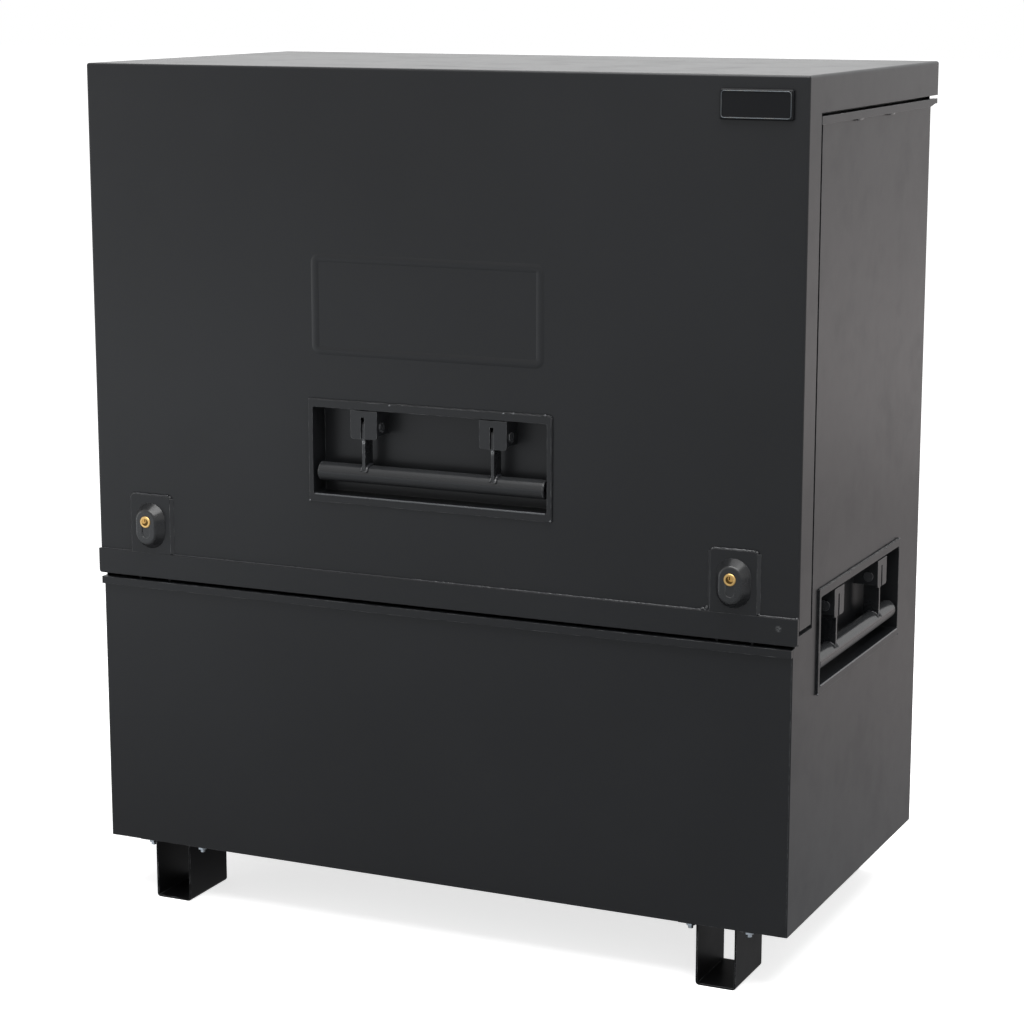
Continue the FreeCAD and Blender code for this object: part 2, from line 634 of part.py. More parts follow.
# Side panels, stepped in front to let the lid's cheeks drop in, and the jambs set in behind the cheeks
BODY_FLOOR = "foot_height"
for side, sign in SIDES:
    panel = node(new_body(f"side_panel_{side}", f"{sign} * {SKIN_OUTSIDE}"))
    skin = new_sketch(panel, "YZ_Plane", f"side_panel_{side}_face")
    outline(skin, [
        ("-body_step", BODY_FLOOR),
        (BODY_REAR, BODY_FLOOR),
        (BODY_REAR, SKIN_TOP),
        ("rebate_depth", SKIN_TOP),
        ("rebate_depth", LEDGE),
        ("sheet + step_gap", LEDGE),
        ("sheet + step_gap", SILL_TOP),
        ("-body_step", SILL_TOP),
    ])
    pad(panel, f"side_panel_{side}_sheet", skin, "sheet", back=sign > 0)

    def front_corner(edge):
        """The upright outer edge at the body's front."""
        ahead = -measure(sizes, "body_step")
        return same(edge.YMin, edge.YMax, ahead) and same(edge.XMin, edge.XMax, 0)

    round_edges(panel, f"side_panel_{side}_corner", front_corner, "body_corner")
    hole = new_sketch(panel, "YZ_Plane", f"side_panel_{side}_opening")
    pan_reach = about("side_handle_depth", PAN_HOLE[0])
    rectangle(hole, pan_reach, about("total_height - side_handle_drop", PAN_HOLE[1]))
    pocket(panel, f"side_panel_{side}_cutout", hole, "2 * (sheet + overrun)", side="Symmetric")

    jamb = node(new_body(f"jamb_{side}", f"{sign} * {JAMB_OUTSIDE}"))
    plate = new_sketch(jamb, "YZ_Plane", f"jamb_{side}_face")
    outline(plate, [
        ("jamb_edge", SILL_TOP),
        ("rebate_depth + jamb_lap", SILL_TOP),
        ("rebate_depth + jamb_lap", f"{SKIN_TOP} - jamb_lap"),
        (f"{BODY_REAR} - sheet", f"{SKIN_TOP} - jamb_lap"),
        (f"{BODY_REAR} - sheet", "total_height - jamb_edge"),
        ("jamb_edge", "total_height - jamb_edge"),
    ])
    pad(jamb, f"jamb_{side}_plate", plate, "sheet", back=sign > 0)
    turn_in = new_sketch(jamb, "YZ_Plane", f"jamb_{side}_return_section")
    outline(turn_in, [
        ("sheet + step_gap", LEDGE),
        ("rebate_depth", LEDGE),
        ("rebate_depth", SKIN_TOP),
        (f"{BODY_REAR} - sheet", SKIN_TOP),
        (f"{BODY_REAR} - sheet", f"{SKIN_TOP} - sheet"),
        ("rebate_depth + sheet", f"{SKIN_TOP} - sheet"),
        ("rebate_depth + sheet", f"{LEDGE} - sheet"),
        ("sheet + step_gap", f"{LEDGE} - sheet"),
    ])
    pad(jamb, f"jamb_{side}_return", turn_in, "jamb_inset - sheet", back=sign < 0)

# Lower front panel with its sill, rear panel and floor
front_panel = node(new_body("front_panel"))
fold = new_sketch(front_panel, "YZ_Plane", "front_panel_section")
outline(fold, [
    ("-body_step", BODY_FLOOR),
    ("-body_step", SILL_TOP),
    ("sill_depth - body_step", SILL_TOP),
    ("sill_depth - body_step", f"{SILL_TOP} - sill_return"),
    ("sill_depth - body_step - sheet", f"{SILL_TOP} - sill_return"),
    ("sill_depth - body_step - sheet", f"{SILL_TOP} - sheet"),
    ("sheet - body_step", f"{SILL_TOP} - sheet"),
    ("sheet - body_step", BODY_FLOOR),
])
pad(front_panel, "front_panel_sheet", fold, f"2 * {SKIN_INSIDE}", side="Symmetric")


def sill_fold(edge):
    """The sill's outer front edge."""
    ahead = -measure(sizes, "body_step")
    return same(edge.YMin, edge.YMax, ahead) and same(edge.ZMin, edge.ZMax, measure(sizes, SILL_TOP))


round_edges(front_panel, "sill_corner", sill_fold, "body_corner")
REAR_TOP = "total_height - jamb_edge"
ACROSS = (f"-{SKIN_INSIDE}", SKIN_INSIDE)
node(box("rear_panel", ACROSS, behind(f"{BODY_REAR} - sheet", BODY_REAR), (BODY_FLOOR, REAR_TOP)))
tray = box(
    "floor_tray",
    ACROSS,
    behind("sheet - body_step", f"{BODY_REAR} - sheet"),
    (BODY_FLOOR, f"{BODY_FLOOR} + floor_lip"),
)
tray_inside = box(
    "floor_tray_inside",
    (f"floor_thick - {SKIN_INSIDE}", f"{SKIN_INSIDE} - floor_thick"),
    behind("sheet - body_step + floor_thick", f"{BODY_REAR} - sheet - floor_thick"),
    (f"{BODY_FLOOR} + floor_thick", f"{BODY_FLOOR} + floor_lip + overrun"),
)

# Four channel feet, each bolted to the floor by its flanges, with the nuts underneath
FOOT_STARTS = (
    ("front", "foot_inset - body_step"),
    ("rear", f"{BODY_REAR} - foot_inset - foot_length"),
)
FLANGE_MIDDLE = "(foot_width + foot_flange) / 2"
HEAD_FACE = f"{BODY_FLOOR} + floor_thick"
NUT_FACE = "foot_height - foot_wall"
foot_bolts = []
floor_holes = []
for end, start in FOOT_STARTS:
    for side, sign in SIDES:
        middle = f"{sign} * {FOOT_MIDDLE}"
        foot = node(new_body(f"foot_{end}_{side}", middle, f"{FRONT} + {start}"))
        across = new_sketch(foot, "XZ_Plane", f"foot_{end}_{side}_section")
        right_half = [
            ("foot_width / 2", 0),
            ("foot_width / 2", NUT_FACE),
            ("foot_width / 2 + foot_flange", NUT_FACE),
            ("foot_width / 2 + foot_flange", "foot_height"),
            ("foot_width / 2 - foot_wall", "foot_height"),
            ("foot_width / 2 - foot_wall", "foot_wall"),
        ]
        left_half = [(f"-({x})", z) for x, z in reversed(right_half)]
        outline(across, right_half + left_half)
        pad(foot, f"foot_{end}_{side}_channel", across, "foot_length", back=True)

        def lower_bend(edge):
            """The two outer edges along the channel's underside."""
            lengthwise = same(edge.XMin, edge.XMax)
            outer = same(abs(edge.XMin), measure(sizes, "foot_width / 2"))
            return lengthwise and outer and same(edge.ZMin, edge.ZMax, 0)

        round_edges(foot, f"foot_{end}_{side}_bends", lower_bend, "foot_corner")
        holes = new_sketch(foot, "XY_Plane", f"foot_{end}_{side}_holes")
        for hand in (-1, 1):
            for inset in ("foot_bolt_inset", "foot_length - foot_bolt_inset"):
                spot = f"{hand} * {FLANGE_MIDDLE}"
                circle(holes, spot, inset, "bolt_hole_radius")
                number = len(foot_bolts)
                x = f"{middle} + {spot}"
                y = f"{FRONT} + {start} + {inset}"
                nut_low = f"{NUT_FACE} - bolt_nut"
                bolt_low = f"{nut_low} - bolt_end"
                length = f"{HEAD_FACE} + bolt_head - ({bolt_low})"
                head = hexagon(f"foot_bolt_head_{number}", "z", (x, y, HEAD_FACE), "bolt_head")
                nut = hexagon(f"foot_bolt_nut_{number}", "z", (x, y, nut_low), "bolt_nut")
                shank = round_bar(f"foot_bolt_shank_{number}", "z", (x, y, bolt_low), "bolt_radius", length)
                foot_bolts.append(fuse(f"foot_bolt_{number}", head, shank, nut))
                bottom = f"{BODY_FLOOR} - overrun"
                depth = "floor_thick + 2 * overrun"
                hole = round_bar(f"floor_hole_{number}", "z", (x, y, bottom), "bolt_hole_radius", depth)
                floor_holes.append(hole)
        pocket(foot, f"foot_{end}_{side}_bolt_holes", holes, "foot_height + overrun", back=True)
node(cut("floor_panel", tray, tray_inside, *floor_holes))
node(group("foot_bolts", *foot_bolts))

# Rim bars just below the lid's edges
RIM_BOTTOM = f"{SILL_TOP} - rim_bar_height"
node(box(
    "rim_bar_front",
    (f"-{SKIN_OUTSIDE}", SKIN_OUTSIDE),
    behind("-body_step - rim_bar_thick", "-body_step"),
    (RIM_BOTTOM, SILL_TOP),
))
for side, sign in SIDES:
    rim_bar = node(new_body(f"rim_bar_{side}", f"{sign} * {SKIN_OUTSIDE}"))
    across = new_sketch(rim_bar, "YZ_Plane", f"rim_bar_{side}_face")
    outline(across, [
        ("lid_flange + rim_end_gap", SKIN_TOP),
        ("lid_depth - ear_setback", SKIN_TOP),
        ("lid_depth - ear_setback", f"{SKIN_TOP} - rim_bar_height + ear_rise"),
        (BODY_REAR, f"{SKIN_TOP} - rim_bar_height + ear_rise"),
        (f"{BODY_REAR} - ear_slope", f"{SKIN_TOP} - rim_bar_height"),
        ("lid_flange + rim_end_gap", f"{SKIN_TOP} - rim_bar_height"),
    ])
    pad(rim_bar, f"rim_bar_{side}_flat", across, "rim_bar_thick", back=sign < 0)

# Rubber seal on the free edges of the jambs and the rear panel. Above the hinge line the lid front
# swings back a little as it rises, so there the seal leans back by as much.
SEAL_TOP = "(total_height - sheet - fit_gap)"
SEAL_FRONT = "sheet + fit_gap"
SEAL_LEAN = f"({SEAL_TOP} - {HINGE_HEIGHT}) ^ 2 / (2 * {HINGE_DEPTH}) + fit_gap"
REAR_MIDDLE = f"{BODY_REAR} - sheet / 2"
SEAL_REAR = f"{REAR_MIDDLE} + seal_width / 2"
seal_parts = []
for side, sign in SIDES:
    strip = new_body(f"seal_{side}", f"{sign} * ({JAMB_OUTSIDE} - sheet / 2)")
    run = new_sketch(strip, "YZ_Plane", f"seal_{side}_face")
    outline(run, [
        (SEAL_FRONT, LEDGE),
        (SEAL_FRONT, HINGE_HEIGHT),
        (f"{SEAL_FRONT} + {SEAL_LEAN}", SEAL_TOP),
        (SEAL_REAR, SEAL_TOP),
        (SEAL_REAR, REAR_TOP),
        ("jamb_edge", REAR_TOP),
        ("jamb_edge", LEDGE),
    ])
    pad(strip, f"seal_{side}_strip", run, "seal_width", side="Symmetric")
    seal_parts.append(strip)
seal_across = box(
    "seal_rear",
    (f"-{JAMB_OUTSIDE}", JAMB_OUTSIDE),
    behind(f"{REAR_MIDDLE} - seal_width / 2", SEAL_REAR),
    (REAR_TOP, SEAL_TOP),
)
node(fuse("weather_seal", *seal_parts, seal_across))

# Hinge along the rear: two leaves with interleaved knuckles on one pin
KNUCKLES = BODY_KNUCKLES + LID_KNUCKLES
HINGE_START = f"-{HINGE_END}"
HINGE_Y = f"{FRONT} + {HINGE_DEPTH}"
BORE_LENGTH = f"{HINGE_LENGTH} + 2 * overrun"
BORE_START = f"{HINGE_START} - overrun"
LEAF_EDGE = "knuckle_radius + knuckle_gap"
LEAVES = (
    (
        "hinge_body_leaf",
        0,
        behind(BODY_REAR, f"{BODY_REAR} + hinge_leaf"),
        (f"{HINGE_HEIGHT} - body_leaf_height", f"{HINGE_HEIGHT} - {LEAF_EDGE}"),
        (f"{HINGE_HEIGHT} - {LEAF_EDGE}", HINGE_HEIGHT),
    ),
    (
        "hinge_lid_leaf",
        1,
        behind("lid_depth - sheet - hinge_leaf", "lid_depth - sheet"),
        (f"{HINGE_HEIGHT} + {LEAF_EDGE}", f"{HINGE_HEIGHT} + lid_leaf_height"),
        (HINGE_HEIGHT, f"{HINGE_HEIGHT} + {LEAF_EDGE}"),
    ),
)
for name, first, thickness, leaf_rise, neck_rise in LEAVES:
    leaf = box(f"{name}_plate", (HINGE_START, HINGE_END), thickness, leaf_rise)
    pieces = [leaf]
    for number in range(first, KNUCKLES, 2):
        low = f"{HINGE_START} + {HINGE_LENGTH} * {number} / {KNUCKLES} + knuckle_gap / 2"
        high = f"{HINGE_START} + {HINGE_LENGTH} * {number + 1} / {KNUCKLES} - knuckle_gap / 2"
        spot = (low, HINGE_Y, HINGE_HEIGHT)
        length = f"{high} - ({low})"
        pieces.append(round_bar(f"{name}_knuckle_{number}", "x", spot, "knuckle_radius", length))
        pieces.append(box(f"{name}_neck_{number}", (low, high), thickness, neck_rise))
    bore_at = (BORE_START, HINGE_Y, HINGE_HEIGHT)
    bore = round_bar(f"{name}_bore", "x", bore_at, "hinge_pin_radius + pin_gap", BORE_LENGTH)
    node(cut(name, fuse(f"{name}_whole", *pieces), bore))
pin_at = (HINGE_START, HINGE_Y, HINGE_HEIGHT)
node(round_bar("hinge_pin", "x", pin_at, "hinge_pin_radius", HINGE_LENGTH))


# Three recessed drop handles. Each is made with its own x along the grip, y inward and z up from the
# middle of the recess, and then turned into place.
def hand_pair(name, make):
    """One piece at each end of the grip."""
    return [make(f"{name}_{side}", sign) for side, sign in SIDES]


def handle_tray(name):
    """The welded pan with its proud frame."""
    body = new_body(name, y=0)
    frame = new_sketch(body, "XZ_Plane", f"{name}_frame_face")
    rectangle(frame, about(0, "frame_width"), about(0, "frame_height"))
    pad(body, f"{name}_frame", frame, "frame_thick")
    pan = new_sketch(body, "XZ_Plane", f"{name}_pan_face")
    rectangle(pan, about(0, PAN_OUTSIDE[0]), about(0, PAN_OUTSIDE[1]))
    pad(body, f"{name}_pan", pan, "pan_depth + pan_sheet", back=True)
    recess = new_sketch(body, "XZ_Plane", f"{name}_recess_face")
    rectangle(recess, about(0, "pan_width"), about(0, "pan_height"))
    outward = "frame_thick + overrun"
    pocket(body, f"{name}_recess", recess, "pan_depth", side="Two sides", second=outward)

    def recess_corner(edge):
        return same(edge.YLength, measure(sizes, "frame_thick + pan_depth"))

    round_edges(body, f"{name}_corners", recess_corner, "pan_corner")
    return body


def bracket(name, sign):
    """A channel bracket with its open side to the pan and a slot for the arm in its web."""
    web_back = "(bracket_thick - bracket_reach)"
    bottom = f"({BRACKET_TOP} - bracket_height)"
    body = new_body(name, f"{sign} * bracket_spacing / 2", web_back)
    web = new_sketch(body, "XZ_Plane", f"{name}_web_face")
    rectangle(web, about(0, "bracket_width"), (bottom, BRACKET_TOP))
    pad(body, f"{name}_web", web, "bracket_thick")

    def lower_corner(edge):
        low = same(edge.ZMin, edge.ZMax, measure(sizes, bottom))
        return low and same(edge.XMin, edge.XMax)

    round_edges(body, f"{name}_corners", lower_corner, "bracket_corner")
    legs = new_sketch(body, "XZ_Plane", f"{name}_legs_face")
    for hand in (-1, 1):
        reach = span(hand, "bracket_width / 2 - bracket_thick", "bracket_width / 2")
        rectangle(legs, reach, (f"{bottom} + bracket_corner", BRACKET_TOP))
    pad(body, f"{name}_legs", legs, f"pan_depth - {web_back}", back=True)
    slot = new_sketch(body, "XZ_Plane", f"{name}_slot_face")
    rectangle(slot, about("-slot_shift", "slot_width"), (f"{bottom} - overrun", f"{BRACKET_TOP} - slot_top"))
    pocket(body, f"{name}_slot", slot, "2 * (bracket_thick + overrun)", side="Symmetric")
    bore = new_sketch(body, "YZ_Plane", f"{name}_bore_face")
    circle(bore, f"pivot_depth - {web_back}", PIVOT_HEIGHT, "pin_radius + pin_gap")
    pocket(body, f"{name}_bore", bore, "bracket_width + overrun", side="Symmetric")
    return body


def pivot_pin(name, sign):
    """A pin through both legs of a bracket, with a low round head at either end."""
    middle = f"{sign} * bracket_spacing / 2"
    left_x = f"{middle} - bracket_width / 2 - pin_head_thick"
    right_x = f"{middle} + bracket_width / 2"
    pieces = []
    for label, low, radius, length in (
        ("shank", left_x, "pin_radius", "bracket_width + 2 * pin_head_thick"),
        ("left_head", left_x, "pin_head_radius", "pin_head_thick"),
        ("right_head", right_x, "pin_head_radius", "pin_head_thick"),
    ):
        start = (low, "pivot_depth", PIVOT_HEIGHT)
        pieces.append(round_bar(f"{name}_{label}", "x", start, radius, length))
    return fuse(name, *pieces)


def grip_arm(name, sign):
    """A flat arm, round at the pivot and cut to fit the tube at its other end."""
    reach = about(f"{sign} * bracket_spacing / 2 - slot_shift", "arm_thick")
    low = reach[0]
    deep = about("pivot_depth", "arm_width")
    flat = box(f"{name}_flat", reach, deep, (TUBE_HEIGHT, PIVOT_HEIGHT))
    end = round_bar(f"{name}_end", "x", (low, "pivot_depth", PIVOT_HEIGHT), "arm_width / 2", "arm_thick")
    start = f"{low} - overrun"
    through = "arm_thick + 2 * overrun"
    hole_at = (start, "pivot_depth", PIVOT_HEIGHT)
    hole = round_bar(f"{name}_hole", "x", hole_at, "pin_radius + pin_gap", through)
    saddle_at = (start, "pivot_depth", TUBE_HEIGHT)
    saddle = round_bar(f"{name}_saddle", "x", saddle_at, "tube_radius", through)
    return cut(name, fuse(f"{name}_whole", flat, end), hole, saddle)


def grip_plug(name, sign):
    """A rounded plug that closes one end of the tube."""
    body = new_body(name, f"{sign} * (tube_length / 2 - plug_thick)", "pivot_depth", TUBE_HEIGHT)
    cap = new_sketch(body, "YZ_Plane", f"{name}_cap_face")
    circle(cap, 0, 0, "tube_radius")
    pad(body, f"{name}_cap", cap, "plug_thick", back=sign < 0)

    def outer_edge(edge):
        return same(abs(edge.XMin), abs(edge.XMax), measure(sizes, "plug_thick"))

    round_edges(body, f"{name}_rounding", outer_edge, "plug_rounding")
    spigot = new_sketch(body, "YZ_Plane", f"{name}_spigot_face")
    circle(spigot, 0, 0, "tube_radius - tube_wall - pin_gap")
    pad(body, f"{name}_spigot", spigot, "plug_depth", back=sign > 0)
    return body


def grip_tube(name):
    length = "tube_length - 2 * plug_thick"
    start = (f"-({length}) / 2", "pivot_depth", TUBE_HEIGHT)
    whole = round_bar(f"{name}_whole", "x", start, "tube_radius", length)
    bore_at = (f"{start[0]} - overrun", "pivot_depth", TUBE_HEIGHT)
    bore = round_bar(f"{name}_bore", "x", bore_at, "tube_radius - tube_wall", f"{length} + 2 * overrun")
    return cut(name, whole, bore)


SIDE_HANDLE = (f"{FRONT} + side_handle_depth", "total_height - side_handle_drop")
HANDLES = (
    ("front", (0, FRONT, "total_height - handle_drop"), "bracket_top_gap / 2", 0),
    ("right", (SKIN_OUTSIDE, *SIDE_HANDLE), 0, QUARTER_TURN),
    ("left", (f"-{SKIN_OUTSIDE}", *SIDE_HANDLE), 0, -QUARTER_TURN),
)
for where, (across, deep, high), rise, turn in HANDLES:
    # the front brackets are set nearer to the roof of their recess, so its grip hangs a little higher
    pieces = (
        (handle_tray(f"handle_tray_{where}"), 0),
        (group(f"handle_brackets_{where}", *hand_pair(f"bracket_{where}", bracket)), rise),
        (group(f"pivot_pins_{where}", *hand_pair(f"pivot_pin_{where}", pivot_pin)), rise),
        (group(f"grip_arms_{where}", *hand_pair(f"grip_arm_{where}", grip_arm)), rise),
        (group(f"grip_plugs_{where}", *hand_pair(f"grip_plug_{where}", grip_plug)), rise),
        (grip_tube(f"grip_tube_{where}"), rise),
    )
    for piece, lift in pieces:
        piece.Placement.Rotation = Rotation(Vector(0, 0, 1), turn)
        node(place(piece, across, deep, f"{high} + {lift}"))

# Two locks: plate, escutcheon, cylinder, plug with its cam, case, dead bolt, and a keep on the sill
CAM_FRONT = "(cylinder_tail + cam_gap)"
BOLT_FRONT = f"({CAM_FRONT} + cam_thick + cam_gap)"
BOLT_REAR = f"({BOLT_FRONT} + dead_bolt_thick)"
CASE_REAR = f"({BOLT_REAR} + fit_gap)"
NOTCH_HEIGHT = f"{LOCK_HEIGHT} + cam_radius * cos(cam_angle)"
KEEP_TOP = f"({CASE_EDGE} - keep_drop)"
plates = []
cases = []
keeps = []
for side, sign in SIDES:
    middle = f"{sign} * {LOCK_MIDDLE}"
    plate = new_body(f"lock_plate_{side}", middle)
    face = new_sketch(plate, "XZ_Plane", f"lock_plate_{side}_face")
    rectangle(face, about(0, "lock_plate_width"), (CASE_EDGE, f"{LOCK_HEIGHT} + lock_plate_above"))
    circle(face, 0, LOCK_HEIGHT, "cylinder_radius + fit_gap")
    pad(plate, f"lock_plate_{side}_flat", face, "lock_plate_thick")

    def upper_corner(edge):
        top = measure(sizes, f"{LOCK_HEIGHT} + lock_plate_above")
        return same(edge.ZMin, edge.ZMax, top) and same(edge.XMin, edge.XMax)

    round_edges(plate, f"lock_plate_{side}_corners", upper_corner, "lock_plate_corner")
    plates.append(plate)

    shield = node(new_body(f"escutcheon_{side}", middle, f"{FRONT} - lock_plate_thick", LOCK_HEIGHT))
    foot = new_sketch(shield, "XZ_Plane", f"escutcheon_{side}_foot")
    reach = "(oval_height - oval_width) / 2"
    oval(foot, f"-oval_below - {reach}", f"{reach} - oval_below", "oval_width / 2")
    pad(shield, f"escutcheon_{side}_dome", foot, "escutcheon_height", taper="-escutcheon_taper")

    def face_edge(edge):
        return same(edge.YMin, edge.YMax, -measure(sizes, "escutcheon_height"))

    round_edges(shield, f"escutcheon_{side}_rounding", face_edge, "escutcheon_rounding")
    sunk = new_sketch(shield, "XZ_Plane", f"escutcheon_{side}_slot_face", "escutcheon_height")
    oval(sunk, "-face_slot_length", 0, "face_slot_radius")
    pocket(shield, f"escutcheon_{side}_slot", sunk, "face_slot_depth")
    bore = new_sketch(shield, "XZ_Plane", f"escutcheon_{side}_bore_face")
    circle(bore, 0, 0, "cylinder_radius + pin_gap")
    pocket(shield, f"escutcheon_{side}_bore", bore, "2 * (escutcheon_height + overrun)", side="Symmetric")

    barrel = node(new_body(f"lock_cylinder_{side}", middle, FRONT, LOCK_HEIGHT))
    ring = new_sketch(barrel, "XZ_Plane", f"lock_cylinder_{side}_section")
    circle(ring, 0, 0, "cylinder_radius")
    circle(ring, 0, 0, "plug_radius + pin_gap")
    name = f"lock_cylinder_{side}_barrel"
    pad(barrel, name, ring, LOCK_REACH, side="Two sides", second="cylinder_tail")

    def outer_rim(edge):
        ahead = same(edge.YMin, edge.YMax, -measure(sizes, LOCK_REACH))
        return ahead and same(edge.XMax, measure(sizes, "cylinder_radius"))

    bevel_edges(barrel, f"lock_cylinder_{side}_bevel", outer_rim, "cylinder_bevel")

    start = (0, f"plug_sink - {LOCK_REACH}", 0)
    length = f"{LOCK_REACH} - plug_sink + {CAM_FRONT} + cam_thick"
    core = round_bar(f"lock_plug_{side}_core", "y", start, "plug_radius", length)
    half = "cam_width / 2"
    flat_y = (CAM_FRONT, f"{CAM_FRONT} + cam_thick")
    flat = box(f"cam_{side}_flat", about(0, "cam_width"), flat_y, (0, "cam_radius"))
    tip_at = (0, CAM_FRONT, "cam_radius")
    tip = round_bar(f"cam_{side}_tip", "y", tip_at, half, "cam_thick")
    stud = round_bar(f"cam_{side}_pin", "y", tip_at, "cam_pin_radius", "cam_thick + cam_pin_length")
    cam = fuse(f"cam_{side}", flat, tip, stud)
    cam.Placement.Rotation = Rotation(Vector(0, 1, 0), measure(sizes, "cam_angle"))
    bind(cam, Placement__Rotation__Angle="cam_angle")
    key_y = (f"{start[1]} - overrun", f"{start[1]} + keyway_depth")
    keyway = box(f"keyway_{side}", about(0, "keyway_width"), key_y, (0, "keyway_height"))
    turning = cut(f"lock_plug_{side}", fuse(f"lock_plug_{side}_whole", core, cam), keyway)
    node(place(turning, middle, FRONT, LOCK_HEIGHT))

    bolt = box(
        f"dead_bolt_{side}_bar",
        about(middle, "dead_bolt_width"),
        behind(BOLT_FRONT, BOLT_REAR),
        (CASE_EDGE, f"{LOCK_HEIGHT} + dead_bolt_above"),
    )
    right_face = f"{middle} + dead_bolt_width / 2"
    notch = box(
        f"dead_bolt_{side}_notch",
        (f"{right_face} - notch_depth", f"{right_face} + overrun"),
        behind(f"{BOLT_FRONT} - overrun", f"{BOLT_REAR} + overrun"),
        about(NOTCH_HEIGHT, "notch_width"),
    )
    node(cut(f"dead_bolt_{side}", bolt, notch))

    case_top = f"{LOCK_HEIGHT} + case_above"
    outside = box(
        f"lock_case_{side}_outside",
        about(middle, "case_width"),
        behind("sheet", f"{CASE_REAR} + sheet"),
        (CASE_EDGE, case_top),
    )
    inside = box(
        f"lock_case_{side}_inside",
        about(middle, "case_width - 2 * sheet"),
        behind("sheet - overrun", CASE_REAR),
        (f"{CASE_EDGE} + sheet", f"{case_top} - sheet"),
    )
    way_out = box(
        f"lock_case_{side}_slot",
        about(middle, "dead_bolt_width + 2 * fit_gap"),
        behind(f"{BOLT_FRONT} - fit_gap", CASE_REAR),
        (f"{CASE_EDGE} - overrun", f"{CASE_EDGE} + overrun"),
    )
    cases.append(cut(f"lock_case_{side}", outside, inside, way_out))

    bolt_middle = f"{BOLT_FRONT} + dead_bolt_thick / 2"
    strap_y = about(bolt_middle, "keep_depth")
    over_y = about(bolt_middle, "keep_depth + 2 * overrun")
    slot_y = about(bolt_middle, "dead_bolt_thick + 2 * keep_gap")
    strap = box(f"keep_{side}_block", about(middle, "keep_width"), behind(*strap_y), (SILL_TOP, KEEP_TOP))
    under = box(
        f"keep_{side}_inside",
        about(middle, "keep_width - 2 * keep_thick"),
        behind(*over_y),
        (f"{SILL_TOP} - overrun", f"{KEEP_TOP} - keep_thick"),
    )
    slot = box(
        f"keep_{side}_slot",
        about(middle, "dead_bolt_width + 2 * keep_gap"),
        behind(*slot_y),
        (f"{KEEP_TOP} - overrun", f"{KEEP_TOP} + overrun"),
    )
    keeps.append(cut(f"keep_{side}", strap, under, slot))
node(group("lock_plates", *plates))
node(group("lock_cases", *cases))
node(group("lock_keeps", *keeps))

